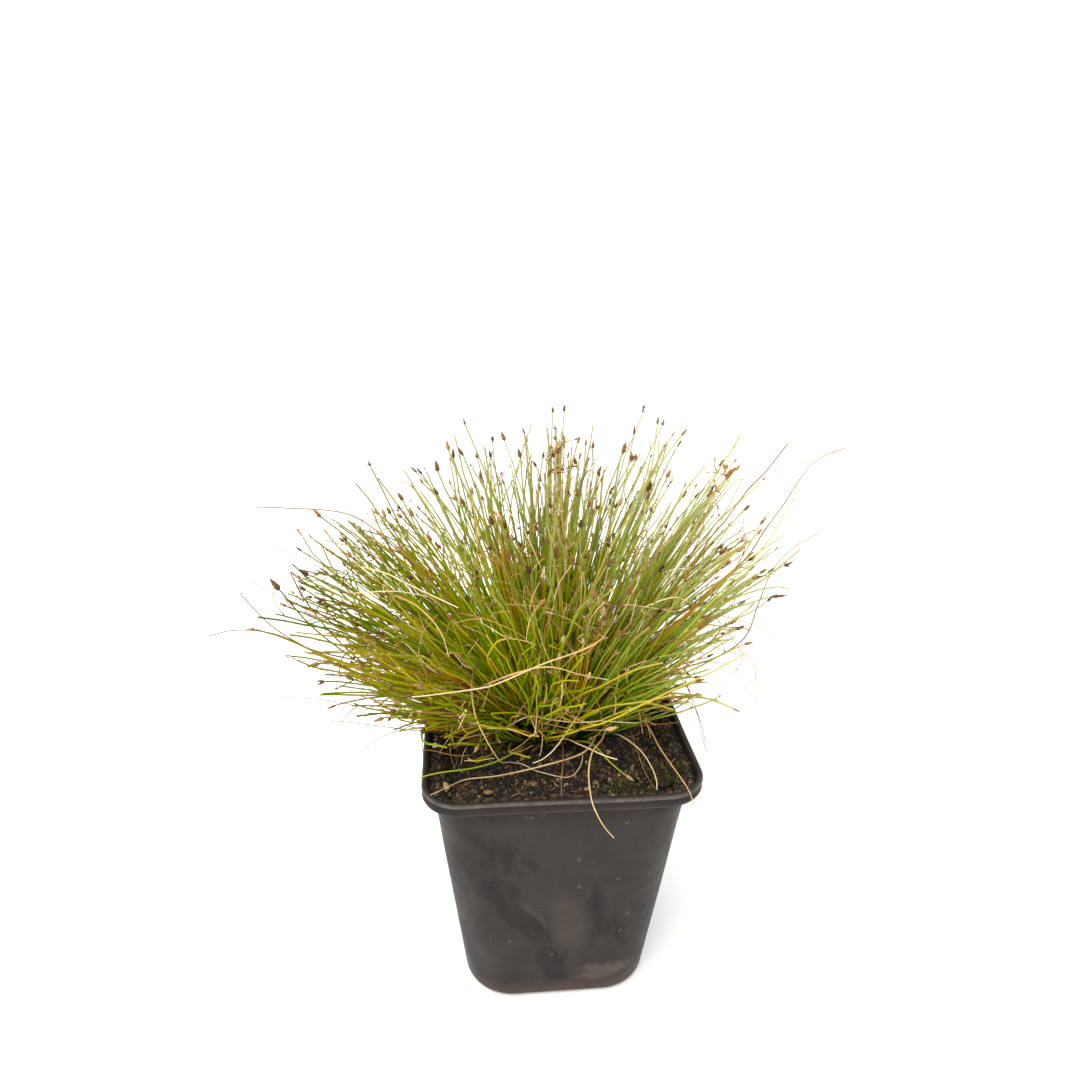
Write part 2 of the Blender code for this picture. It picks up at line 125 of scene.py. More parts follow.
# Marks on the front wall, in millimetres: across, up, half width, half height, and
# tilt in degrees. Dried water left some darker and some paler than the wall, and a
# painted reflection lies as a pale sheen low on the right.
DARK_STAINS = (
    (-21.5, 55, 8.5, 5.2, 22), (-12.5, 39, 4.6, 15, -38), (-3, 16, 4.2, 13, -14), (13.3, 42, 2.6, 13, -10),
    (-11, 66, 4, 2, 40), (20, 31, 1.6, 9, -20))
# A painted reflection: a pale sheen low on the right of the front wall, near the foot
FOOT_SHEEN = ((17, 12, 8, 2.8, 5), (12, 9, 6, 2, 0))
# Paler water stains; the second and third paint the same pale sheen, a painted reflection
PALE_STAINS_AND_SHEEN = (
    (2.5, 37, 6.5, 14, -8), (16, 12.5, 9, 3.2, 5), (12, 9, 7, 2.2, 0), (-9, 42, 1.3, 8, -30))
MOTTLED_STAIN = (-18, 67, 10, 10, 0)
PALE_SPECKS = (
    (-12.2, 86.4), (-10.6, 85.9), (-6.4, 87.1), (-17.5, 29.7), (-3, 21.5), (5.6, 54.4), (20, 82.3),
    (22.6, 40.3), (20.3, 32), (4.9, 67), (18.2, 57))
DARK_SPECK = (-22.6, 86.2)

# The crown is half an ellipsoid that sits on the peat
CROWN_CENTRE = (CROWN_LOW + CROWN_HIGH) / 2
CROWN_HALF = (CROWN_HIGH - CROWN_LOW) / 2
CROWN_RISE = CROWN_HIGH.z - CROWN_LOW.z
CROWN_SEAT = CROWN_LOW.z

UP = Vector((0, 0, 1))
GOLDEN_ANGLE = math.pi * (3 - math.sqrt(5))
# How deep a live stem's root sits in the crown, and how deep a dead one's
LIVE_ROOT = 0.6 * MM
DEAD_ROOT = 0.4 * MM
# A stem's course is an arc, so it bows at least this far, in radians
LEAST_BOW = 0.06
# How far the outermost stems lean from upright, in degrees, and how long they are,
# in millimetres, at every eighth of a turn round the crown, anticlockwise from its right
OUTER_LEANS = (64, 68, 74, 76, 80, 60, 46, 50)
OUTER_LENGTHS = (42, 60, 78, 70, 58, 62, 84, 56)
# How full the clump is and how far it reaches, as seen from the front, at every ten
# degrees from its left, over its middle, to its right
FULLNESS = (
    0.28, 0.26, 0.8, 1, 0.98, 0.78, 0.26, 0.66, 1, 1, 0.92, 0.92, 0.34, 1, 0.33, 0.28, 0.62, 0.7, 0.8)
REACHES = (
    0.8, 0.8, 0.94, 1.07, 1.02, 0.88, 0.9, 0.96, 0.89, 0.95, 0.84, 1.05, 0.86, 1.3, 0.97, 1.12, 1.5,
    1.35, 1.2)

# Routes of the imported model's own strays, in millimetres, from the crown to the tip
STRAY_ROUTES = {
    "stray_front": (
        (19, -1, 89.1), (17.9, -8, 96.1), (14.1, -21.5, 100.3), (9.1, -33, 103.9), (7, -40, 101.6),
        (7.1, -45.3, 96.7), (8.3, -47.2, 92.9), (11, -48, 87.5), (14.2, -48, 82.9)),
    "stray_front_right": (
        (21, 1, 88.2), (25, -5, 97.5), (30, -14, 100.6), (32.3, -28.4, 100), (36, -40.5, 98),
        (37.6, -44.8, 96.4), (38.7, -46.8, 93)),
    "stray_soil": (
        (14, -5, 89), (13.8, -11, 94), (7.8, -20.1, 94), (-6.6, -22.8, 91.5), (-20.1, -25.1, 90.5),
        (-30.9, -27.6, 91.5), (-36.9, -34.5, 94), (-41.3, -40.3, 96.4)),
    "stray_left_low": (
        (-23, 8, 91.5), (-32.8, 5.8, 102), (-48.7, 2.7, 113), (-65.5, -1.5, 121.5), (-79, -5.7, 128.5),
        (-89.4, -9.8, 137), (-99.7, -14, 141.1), (-106.9, -18, 141.4)),
    "stray_left_high": (
        (-15, 12, 94.7), (-28, 9, 125), (-45, 4, 153), (-57.5, 0, 168), (-66.3, -5, 175.5),
        (-80.9, -12, 179.7), (-89.2, -14, 180.9)),
    "stray_right_high": (
        (17, 16, 93.5), (35, 19.7, 110), (58, 21.3, 129), (72.1, 21, 145.5), (76.6, 18.7, 156.3),
        (81.5, 16.3, 167), (88.2, 12, 183.2), (97, 8, 189.7)),
    "stray_right_low": (
        (21.5, 12, 91.4), (45, 16.7, 101), (64, 20.3, 105), (75, 21, 113), (77, 16.7, 128.8),
        (79.3, 14.3, 142), (83.5, 10, 152.8), (92.2, 6, 161)),
}

# Tone of each stray, from 0, cream, to 1, dark
STRAY_TONES = (0.3, 0.5, 0.2, 0.75, 0.65, 0.8, 0.7)

# Dry strands laid round and across the clump: tone from 0, cream, to 1,
# dark, then girth, length of the flower spike in millimetres, and the route
DRY_STRANDS = (
    (0.2, 0.59, 0, (
        (16.3, -30, 155), (9.4, -38, 146.2), (-9.5, -54, 148), (-20.4, -62, 148), (-25.6, -66, 149),
        (-37.9, -70, 150.1), (-42.3, -70, 149.8))),
    (0.3, 0.55, 0, ((-28, -52.6, 140), (-16, -51, 144), (-6.5, -50, 145), (2.5, -48, 141), (12, -40, 134))),
    (0.45, 0.5, 0, (
        (-10, -20, 160), (-9, -25, 152), (-7.8, -28, 145.6), (-5.8, -30, 139), (-2.8, -31, 132.7),
        (0.9, -31, 126.2), (5, -31, 121))),
    (0.7, 0.44, 0, (
        (-34.4, -40, 158), (-26.5, -42, 157.3), (-20, -44, 155.6), (-14, -45, 152.5), (-9.6, -46, 148))),
    (0.2, 0.59, 0, (
        (-25.9, -30, 136.6), (-27.9, -32, 130.6), (-27.7, -33, 122.5), (-25.9, -32, 114.2),
        (-20.1, -28, 98.8), (-16.3, -21.6, 93), (-11.6, -20.6, 91), (-8.4, -21.8, 89.5),
        (0.2, -26.1, 89.5), (3.7, -26.5, 90), (6.8, -23.3, 91), (8.2, -19.7, 93))),
    (0.08, 0.7, 0, (
        (9, -20, 118.5), (6.5, -24, 114), (3, -26, 109), (-2, -28, 102.5), (-6, -30, 100),
        (-9.5, -32, 100))),
    (0.2, 0.59, 0, ((-5, -14, 111), (-5.5, -18, 104), (-5.5, -20, 99), (-6.5, -22, 95))),
    (0.1, 0.63, 0, (
        (18.9, -7.9, 93), (21.9, -14.2, 96), (27.1, -21.1, 95), (29.4, -29.6, 94), (29.7, -35.6, 93),
        (28.6, -40, 92.5))),
    (0.8, 0.44, 0, ((26.8, -3.7, 93), (26.4, -18, 94), (27.7, -27.6, 91), (29.9, -33.4, 89))),
    (0.55, 0.44, 0, (
        (46.8, 0, 108.2), (48.5, -6, 102.9), (49.9, -10, 99.4), (50.4, -14, 96.8), (50.3, -20, 92.5))),
    (0.75, 0.52, 0, ((2, -14, 94.5), (1, -24, 94.5), (-0.5, -33, 93.5), (-1, -38, 90))),
    (0.5, 0.44, 0, (
        (8, -10, 108), (13, -14, 114.5), (18, -18, 117.5), (23, -20, 116), (25.5, -22, 111.5),
        (27, -24, 103.5))),
    (0.7, 0.52, 0, ((-27, -17, 93), (-34.5, -18, 94), (-42, -18, 96.4), (-47.5, -18, 96.8))),
    (0.75, 0.44, 0, ((-24, -2, 99), (-34, -10, 98.5), (-36, -16, 95), (-34.5, -20, 90))),
    (0.1, 0.52, 0, (
        (-32.5, -30, 119.5), (-32, -30, 116.5), (-30, -31, 120), (-30.4, -30.8, 118), (-32.5, -30, 112.5))),
    (0.55, 0.44, 2.6, ((-4, -17, 121), (-8, -20, 118), (-12, -22, 114.5), (-14.5, -23, 110.5))),
    (0.05, 0.52, 0, (
        (48, -6, 141), (43.5, -10, 143.5), (36.5, -14, 147.5), (26, -18, 146), (26.5, -19, 144),
        (24, -20, 138))),
    (0.15, 0.44, 0, ((14, -16, 146), (20.5, -16, 146.5), (26, -18, 146.6), (37.5, -14, 142.5))),
    (0, 0.52, 0, ((-64, -24, 167), (-52, -28, 165), (-46, -32, 163.5), (-31, -40, 159))),
    (0.1, 0.44, 0, ((-65.5, -24, 157.5), (-61.5, -26, 158), (-49, -30, 160), (-40, -32, 159))),
    (0.3, 0.48, 0, (
        (-52, -30, 159), (-46.5, -34, 159.5), (-40.5, -38, 157), (-36, -42, 152.5), (-34, -44, 146))),
    (0.62, 0.74, 0, (
        (-24, 8, 93), (-50, 6, 104), (-73, 4, 117), (-80.5, 2, 123.5), (-90.5, 0, 132.5), (-95, -2, 139),
        (-100.5, -4, 149))),
    (0.7, 0.44, 0, (
        (-22, 6, 94), (-48, 4, 118), (-74, 0, 137), (-82, -2, 142.5), (-89.5, -4, 148), (-96, -6, 154))),
    (0.5, 0.41, 0, (
        (-20, 6, 95), (-45, 4, 127), (-70, 0, 149.5), (-74.5, -2, 155), (-80, -4, 160.5),
        (-89.5, -8, 166.5))),
    (0.68, 0.44, 0, (
        (-24, 2, 92), (-46.5, -4, 100.5), (-61.5, -6, 105.5), (-76.5, -8, 111), (-90, -10, 114))),
    (0.9, 0.44, 0, ((-22, 0, 90), (-34, -5, 93.5), (-46.5, -9, 98), (-60.5, -12, 103), (-74, -14, 107))),
    (0.9, 0.44, 0, (
        (-22, 2, 91), (-36, -2, 96), (-48, -8, 99.8), (-52, -10, 99.5), (-59, -14, 99.5), (-65, -18, 97))),
    (0.75, 0.41, 2.4, ((-24, 6, 92), (-44, 2, 104), (-62.5, -2, 113), (-71, -4, 117), (-86, -8, 127))),
    (0.45, 0.52, 0, ((18, 14, 94), (36, 15, 122), (49, 14, 154), (57.5, 12, 179), (61.5, 10, 195))),
    (0.6, 0.41, 0, ((20, 16, 93), (44, 16, 134), (65, 14, 155.5), (74.5, 10, 161), (86.5, 6, 163))),
    (0.55, 0.44, 0, (
        (22, 10, 92), (38, 11, 126), (49, 10, 140.5), (56, 8, 145.5), (66, 6, 148.5), (70.5, 4, 153),
        (76, 2, 153.5))),
    (0.4, 0.52, 0, (
        (22, 8, 92), (38, 8, 122), (52, 6, 132), (61, 4, 130.5), (70, 0, 129), (78.5, -4, 124))),
    (0.5, 0.59, 0, (
        (22, 8, 92), (40, 8, 124), (52, 6, 134), (60, 4, 127), (67, 0, 118), (70, -2, 115.5),
        (71.5, -3, 109), (72, -4, 100.5))),
    (0.6, 0.44, 0, (
        (36, 6, 112), (48.5, 4, 122), (60, 2, 118.5), (67, 0, 116.5), (62.5, -2, 110.5), (55.5, -4, 107))),
    (0.85, 0.37, 0, (
        (30, 6, 104), (49, 2, 113), (56.5, 0, 115), (63.5, -2, 114), (67, -3, 109), (67.5, -4, 104))),
    (0.7, 0.44, 0, (
        (30, 4, 108), (41, 0, 111.5), (46.5, -2, 108), (49, -4, 102), (51.5, -6, 94.5), (54, -8, 83.5))),
    (0.02, 0.59, 0, (
        (25, 16, 121), (33, 14, 120.5), (37, 12, 115.5), (39.5, 10, 111), (41.5, 8, 104), (44.5, 6, 98))),
    (0.6, 0.44, 0, ((30, 3, 100), (35.5, 1, 98), (40, -1, 97), (44, -3, 97), (48, -4, 96.4))),
)

# Green stems that lie across the peat: length of the flower spike, and the route
GREEN_STRANDS = (
    (0, ((-8.8, -8.9, 91), (-19.5, -17.6, 91), (-28.3, -23.8, 93), (-38.8, -30, 96.5), (-45, -33.2, 97.5))),
    (3.4, ((5, -7.3, 90), (10.5, -12.6, 93), (13.2, -17.6, 94), (16.8, -24.7, 93), (21.6, -27, 89.5))),
)

# Stems placed one by one: the tip in millimetres, the length of the flower spike,
# tone from green to yellow, and how far the stem bows outwards, in radians
PLACED_STEMS = (
    (-61, 29, 180, 3.2, 0.3, -0.3), (-67, 26, 175, 0, 0.25, 0), (-49, 2, 177, 3.6, 0.35, -0.1),
    (-46, 33, 176, 3.4, 0.5, 0.9), (-44, 49, 172, 2.4, 0.3, 0.1), (-48, 40, 170, 1.8, 0.5, 0.2),
    (-37, 14, 182, 4, 0.35, 0.1), (-28, 4, 201, 2.2, 0.35, 0.35), (-29, 12, 189, 3.8, 0.3, 0.1),
    (-25, 66, 172, 4, 0.3, 0.25), (-10, -3, 199, 2.8, 0.2, 0.12), (-11, -3, 192, 3.4, 0.3, -0.1),
    (-3, 75, 167, 2.2, 0.4, 0.6), (-10, 77, 164, 2.6, 0.4, 0.05), (-18, 69, 163, 1.8, 0.3, 0.1),
    (-23, 3, 183, 2.8, 0.4, 0.2), (-22, 6, 179, 3.2, 0.4, 0.2), (-29, 5, 173, 3.8, 0.45, 0.5),
    (-25, 2, 172, 3.4, 0.6, -0.4), (-41, 57, 161, 2.6, 0.7, 0.7), (-35, 53, 166, 2.2, 0.6, 0.4),
    (-43, 8, 171, 2.4, 0.3, 0.6), (-44, 11, 167, 2.6, 0.3, 0.8), (-46, 14, 167, 3.6, 0.6, 0.1),
    (-52, 43, 156, 3.2, 0.5, 0.5), (-57, 29, 160, 4, 0.8, 0), (-59, 29, 163, 3.2, 0.7, 0.6),
    (-58, 29, 174, 1.8, 0.6, 0.3), (-70, 25, 162, 0, 0.4, 0.3), (-66, 26, 158, 0, 0.2, 0.3),
    (-78, 21, 165, 4.2, 0.4, 0.3), (-80, 20, 157, 3, 0.6, 0.2), (-74, 22, 151, 3.6, 0.6, 0.3),
    (-72, 23, 155, 2.6, 0.4, 0.2), (-65, 25, 151, 2.4, 0.1, 0), (-69, 23, 149, 4, 0.7, 0.2),
    (-52, 29, 151, 3, 0.6, 0.3), (-49, 30, 148, 2.8, 0.6, 0.2), (-41, 17, 156, 3.4, 0.5, 0.1),
    (-37, 16, 159, 2.8, 0.3, -0.9), (-29, 4, 160, 3.4, 0.6, -0.2), (-38, 7, 151, 3.8, 0.7, 0),
    (-47, 29, 143, 3, 0.4, 0), (-83, 16, 146, 4.2, 0.1, 0.4), (-77, 19, 144, 4.6, 0.3, 0.2),
    (-82, 15, 138, 3.6, 0.2, 0.8), (-80, 16, 139, 2.6, 0.5, 0.5), (-91, 11, 143, 5.4, 0.25, -1),
    (-88, 13, 146, 1.8, 0.5, -1.2), (-89, 12, 141, 1.8, 0.8, 0.3), (-90, 10, 137, 3, 0.5, 0.3),
    (-94, 7, 135, 0, 0.2, 0.35), (-76, -12, 128, 4.4, 0.6, 0.7), (-73, -25, 127, 3.2, 0.3, 0.5),
    (-81, 36, 88, 3.4, 0.6, 1.3), (-70, -23, 119, 3.6, 0.3, 0.9), (-62, -32, 121, 1.6, 0.1, 0.3),
    (-66, -13, 123, 3.4, 0.6, 0.5), (-60, -15, 120, 2.8, 0.6, 0.6), (-92, 13, 116, 1.5, 0.5, 0.4),
    (5, 65, 190, 2.6, 0.3, 0.05), (9, 59, 191, 3.2, 0.2, 0.15), (11, 66, 177, 4, 0.7, 0.1),
    (1, 13, 196, 2.4, 0.3, -0.3), (13, 65, 175, 2.6, 0.3, 0.5), (1, 4, 190, 2.2, 0.5, -0.3),
    (-3, -2, 185, 3, 0.3, 0.1), (7, 1, 189, 3.4, 0.4, 0), (18, 64, 177, 3, 0.6, 0.2),
    (19, 51, 188, 0, 0.2, 0.2), (22, 8, 189, 4.4, 0.5, 0.25), (25, 7, 186, 3.8, 0.4, 0.5),
    (38, 26, 194, 3.4, 0.4, 0.3), (42, 25, 190, 2.6, 0.5, 0.3), (40, 26, 186, 2.4, 0.2, 0.1),
    (45, 24, 191, 3.6, 0.6, 0.6), (45, 24, 186, 3.8, 0.4, 0.3), (41, 47, 168, 3.6, 0.5, 0.3),
    (46, 41, 170, 3.8, 0.7, 0.2), (18, 2, 177, 3.6, 0.3, 0.1), (14, 0, 172, 3.2, 0.5, 0.5),
    (20, 0, 173, 3.6, 0.3, 0), (11, -1, 180, 2.8, 0.6, 0.3), (24, 63, 165, 2.4, 0.3, 0.1),
    (24, -2, 163, 2.8, 0.5, 0.6), (39, 10, 176, 2.8, 0.4, 0.35), (60, 33, 168, 2.8, 0.3, 0.2),
    (61, 17, 178, 4.4, 0.7, 0.3), (63, 14, 194, 0, 0.3, 0.1), (66, 13, 166, 3.6, 0.4, 0.3),
    (59, 16, 151, 3.8, 0.3, 0.3), (47, 4, 150, 3.4, 0.6, 0.3), (62, 14, 151, 2.8, 0.6, 0.5),
    (61, 14, 147, 3.6, 0.5, 0.4), (68, 28, 133, 2.8, 0.6, 0.5), (72, 10, 163, 3.4, 0.6, -0.5),
    (69, 11, 157, 0, 0.6, 0.3), (77, 20, 140, 3.6, 0.5, 0.2), (74, 5, 146, 3.6, 0.3, 0.4),
    (79, 3, 150, 4.6, 0.2, 0.5), (64, -23, 151, 5.2, 0.2, 0.8), (73, 18, 139, 3.4, 0.6, 0.4),
    (69, 9, 146, 2.6, 0.4, 0.1), (54, -15, 137, 3.2, 0.7, 0.4), (56, -21, 138, 3.4, 0.3, 0.4),
    (68, 28, 111, 3, 0.6, 0.6), (57, -27, 136, 3.2, 0.6, 0.3), (42, -29, 126, 4, 0.6, 0.2),
    (47, -35, 124, 1.6, 0.4, -0.2), (51, -37, 121, 3, 0.5, 1.2), (34, -22, 111, 4, 0.5, 0.2),
    (62, -15, 144, 2.6, 0.9, 0.1), (6, -29, 144, 4.6, 0.95, 0), (-1, -31, 135, 4.6, 0.85, 0),
    (8, -30, 129, 3.8, 0.9, 0), (11, -26, 147, 4.6, 0.95, 0.1), (12, -25, 151, 3.6, 0.8, 0.2),
    (10, -24, 152, 4.2, 0.8, -0.2), (0, -28, 150, 3.4, 0.85, 0), (-1, -30, 141, 3.6, 0.95, 0.3),
    (6, -30, 141, 3.4, 0.95, -0.3), (13, -31, 126, 3.4, 0.8, 0.1), (-31, -24, 134, 4, 0.7, 0.1),
    (-36, -22, 132, 3, 0.5, 0.2), (-41, -20, 128, 3.4, 0.5, 0.2), (-1, -17, 163, 5, 0.35, 0.2),
    (7, -17, 162, 3.4, 0.4, 0.1), (-8, -16, 163, 3, 0.6, 0), (-16, -13, 163, 3.4, 0.5, 0.2),
    (-18, -22, 152, 3, 0.6, 0.1), (25, -18, 152, 3, 0.5, 0.2), (21, -28, 140, 3.4, 0.6, 0.1),
    (26, -27, 142, 3, 0.5, 0.2), (17, -28, 142, 3, 0.4, 0), (15, -29, 137, 3, 0.8, 0.1),
    (8, 97, 148, 3, 0.4, 0.2))

# Bundles of stems placed one by one: the longest tip, number of stems, tone, bow and kind
PLACED_BUNDLES = (
    (10, 68, 179, 8, 0.65, 0.05, "live"), (68, 37, 171, 16, 0.5, 0.25, "live"),
    (63, 48, 157, 16, 0.3, 0.2, "live"), (-58, 29, 161, 8, 0.8, 0.15, "live"),
    (-52, 29, 147, 10, 0.5, 0.1, "live"), (-71, 22, 149, 7, 0.6, 0.2, "live"),
    (18, 0, 183, 6, 0.25, 0.1, "live"), (-17, -7, 173, 8, 1, 0.1, "live"),
    (67, -4, 149, 8, 0.3, 0.3, "live"), (68, 11, 156, 7, 0.7, 0.3, "live"),
    (60, 15, 151, 6, 0.35, 0.2, "live"), (-85, 13, 137, 6, 0.2, 0.3, "live"),
    (-68, -13, 136, 6, 0.7, 0.3, "live"), (-70, -25, 124, 5, 0.3, 0.4, "live"),
    (-24, -1, 184, 6, 0.4, 0.1, "live"), (37, 27, 187, 6, 0.45, 0.25, "live"),
    (46, -22, 136, 9, 0.3, 0.3, "live"), (38, -15, 103, 2, 1, 0.2, "yellow"),
    (-42, -17, 101, 9, 0.5, 0.2, "yellow"), (-44, -18, 108, 8, 0.3, 0.2, "yellow"),
    (-39, -24, 126, 13, 0.75, 0.1, "yellow"), (-62, -12, 127, 5, 0.5, 0.3, "yellow"),
    (-17, -10, 165, 6, 0.6, 0.1, "yellow"), (-2, -16, 159, 4, 0.8, 0, "yellow"),
    (11, -26, 140, 5, 0.6, 0, "yellow"), (45, -17, 140, 4, 0.4, 0.3, "yellow"),
    (-12, 20, 174, 7, 0.45, 0.1, "live"), (-15, 0, 164, 7, 0.4, 0.1, "live"),
    (63, 20, 162, 12, 0.6, 0.25, "live"), (2, 6, 191, 7, 0.7, 0.03, "live"),
    (70, 10, 140, 4, 0.4, 0.4, "live"), (-8, -8, 172, 7, 0.4, 0.1, "live"))

# Tangles of dead bits and heads: middle and spread in millimetres, number of bits, tone
TANGLES = (
    (2, 7, 187, 6, 40, 0.7), (59, 15, 177, 7, 18, 0.45), (-2, -8, 166, 9, 36, 0.65),
    (10, -22, 150, 8, 28, 0.5), (-76, 8, 143, 12, 34, 0.75), (29, 8, 170, 12, 20, 0.5),
    (-62, 10, 150, 13, 34, 0.7), (11, -28, 141, 7, 16, 0.5), (-50, 20, 160, 10, 18, 0.6))

# Camera, as fitted to the pot's outline
CAMERA_PLACE = Vector((-25.88, -242.26, 257.99)) * MM
CAMERA_YAW = math.radians(4.94)
CAMERA_PITCH = math.radians(21.37)
CAMERA_ROLL = math.radians(0.34)
CAMERA_LENS = 26.87

# Sides of a stem's skin, and rings of it along the stems of each group
SIDES = 5
JOINTS = {"live_stems": 14, "placed_stems": 16, "young_stems": 10, "yellow_stems": 12, "dry_stems": 16}

# Inputs that both trees of centre lines take, after their geometry
LINE_SIZES = {"Joints": "Int", "Sway": "Float", "Sway Size": "Float"}


def linear(code):
    """Linear red, green and blue of an sRGB colour such as #7F7F7F."""
    channels = [int(code[start:start + 2], 16) / 255 for start in (1, 3, 5)]
    return [c / 12.92 if c <= 0.04045 else ((c + 0.055) / 1.055) ** 2.4 for c in channels]


class PotLook(bpy.types.PropertyGroup):
    """Size and finish of the pot."""

    wall: bpy.props.FloatProperty(
        name="Wall", description="Thickness of the moulded wall",
        default=1.1 * MM, unit="LENGTH", subtype="DISTANCE")
    warp: bpy.props.FloatProperty(
        name="Warp", description="How far the thin wall bows from true",
        default=0.45 * MM, unit="LENGTH", subtype="DISTANCE")
    colour: bpy.props.FloatVectorProperty(
        name="Colour", description="Recycled black plastic, faded",
        default=linear("#2A2421"), size=3, subtype="COLOR")
    stain_colour: bpy.props.FloatVectorProperty(
        name="Stain colour", description="Where water has run over the wall",
        default=linear("#15110F"), size=3, subtype="COLOR")


class PeatLook(bpy.types.PropertyGroup):
    """Crumbs and fibres of the peat."""

    clod_density: bpy.props.FloatProperty(
        name="Clods", description="Small lumps on each square metre", default=1.1e5)
    clod_size: bpy.props.FloatProperty(
        name="Clod size", description="Radius of the largest lumps",
        default=1.7 * MM, unit="LENGTH", subtype="DISTANCE")
    crumb_density: bpy.props.FloatProperty(
        name="Crumbs", description="Crumbs on each square metre", default=1.1e6)
    crumb_size: bpy.props.FloatProperty(
        name="Crumb size", description="Radius of the largest crumbs",
        default=1.05 * MM, unit="LENGTH", subtype="DISTANCE")
    grain_density: bpy.props.FloatProperty(
        name="Grains", description="Fine grains on each square metre", default=1.1e6)
    fibre_density: bpy.props.FloatProperty(
        name="Fibres", description="Fibres on each square metre", default=6.5e4)
    relief: bpy.props.FloatProperty(
        name="Relief", description="Height of the peat's lumps",
        default=0.9 * MM, unit="LENGTH", subtype="DISTANCE")


class GrassLook(bpy.types.PropertyGroup):
    """Numbers and sizes of the stems."""

    shoots: bpy.props.IntProperty(
        name="Shoots", description="Groups of green stems that share a root", default=192)
    stems_per_shoot: bpy.props.IntProperty(
        name="Stems per shoot", description="Most green stems in one shoot", default=8)
    young_stems: bpy.props.IntProperty(
        name="Young stems", description="Short fresh stems low in the clump", default=300)
    yellow_stems: bpy.props.IntProperty(
        name="Yellow stems", description="Stems that are dying back", default=200)
    dry_stems: bpy.props.IntProperty(
        name="Dry stems", description="Dead straw-coloured stems", default=130)
    kinked_stems: bpy.props.IntProperty(
        name="Kinked stems", description="Dead stems that have folded over", default=45)
    frayed_hairs: bpy.props.IntProperty(
        name="Frayed hairs", description="Short hairs that curl off the stems", default=950)
    caught_stems: bpy.props.IntProperty(
        name="Caught stems", description="Broken stems that lie across the others", default=45)
    upright_length: bpy.props.FloatProperty(
        name="Length upright", description="Length of the stems in the middle",
        default=107 * MM, unit="LENGTH", subtype="DISTANCE")
    stem_radius: bpy.props.FloatProperty(
        name="Stem radius", description="Radius at a stem's foot",
        default=0.42 * MM, unit="LENGTH", subtype="DISTANCE")
    spike_length: bpy.props.FloatProperty(
        name="Spike length", description="Length of the largest flower spikes",
        default=4.5 * MM, unit="LENGTH", subtype="DISTANCE")


class StageLook(bpy.types.PropertyGroup):
    """Floor and light."""

    floor_colour: bpy.props.FloatVectorProperty(
        name="Floor colour", description="Matt white board",
        default=linear("#F3F2F0"), size=3, subtype="COLOR")
    sky: bpy.props.FloatProperty(
        name="Sky", description="Strength of the white light near the horizon", default=1.05)
    overhead: bpy.props.FloatProperty(
        name="Overhead", description="Strength of the white light straight above", default=1.85)
    key: bpy.props.FloatProperty(
        name="Key light", description="Power of the soft box at the upper left",
        default=8.5, unit="POWER")


def feed(node, inputs):
    """Set or link inputs of a node, by name or in the order in which it shows them.

    Each is a plain value, a colour's sRGB code, one of another node's outputs,
    or a node, which stands for the first output that it shows.
    """
    shown = [socket for socket in node.inputs if socket.enabled]
    if isinstance(inputs, dict):
        shown = [next(socket for socket in shown if socket.name == name) for name in inputs]
        inputs = inputs.values()
    for socket, value in zip(shown, inputs):
        if isinstance(value, str) and value.startswith("#"):
            value = (*linear(value), 1)
        if isinstance(value, bpy.types.Node):
            value = next(output for output in value.outputs if output.enabled)
        if isinstance(value, bpy.types.NodeSocket):
            node.id_data.links.new(value, socket)
        else:
            socket.default_value = value


def add(tree, kind, inputs=(), stops=(), **settings):
    """Add a node with its settings, its inputs and its colour stops."""
    node = tree.nodes.new(kind)
    for name, value in settings.items():
        setattr(node, name, value)
    feed(node, inputs)
    if stops:
        ramp = node.color_ramp.elements
        ramp[0].position, ramp[1].position = stops[0][0], stops[-1][0]
        for place, _ in stops[1:-1]:
            ramp.new(place)
        for element, (_, code) in zip(ramp, stops):
            element.color = (*linear(code), 1)
    return node


def start_material(name, roughness, ior=1.5, gloss=0.5):
    """A material, the function that adds its nodes, its shader and the place in the object."""
    material = bpy.data.materials.new(name)
    material.use_nodes = True
    tree = material.node_tree
    shader = tree.nodes["Principled BSDF"]
    feed(shader, {"Roughness": roughness, "IOR": ior, "Specular IOR Level": gloss})
    place = add(tree, "ShaderNodeTexCoord").outputs["Object"]
    return material, functools.partial(add, tree), shader, place


def marks(node, place, spots, soft):
    """Where a point lies in any of a list of spots on the front wall, from 0 to 1.

    soft is how far from a spot's edge it fades, as a share of its size.
    """
    mask = 0
    for across, up, half_width, half_height, tilt in spots:
        inside = node("ShaderNodeMapping", [
            place, (across * MM, -POT_WIDTH * MARK_PLACE, up * MM), (0, math.radians(tilt), 0),
            (half_width * MM, MARK_DEPTH, half_height * MM)], vector_type="TEXTURE")
        away = node("ShaderNodeVectorMath", [inside], operation="LENGTH")
        spot = node("ShaderNodeMapRange", [away, 1 + soft, 1 - soft, 0, 1])
        mask = node("ShaderNodeMath", [mask, spot], operation="MAXIMUM")
    return mask


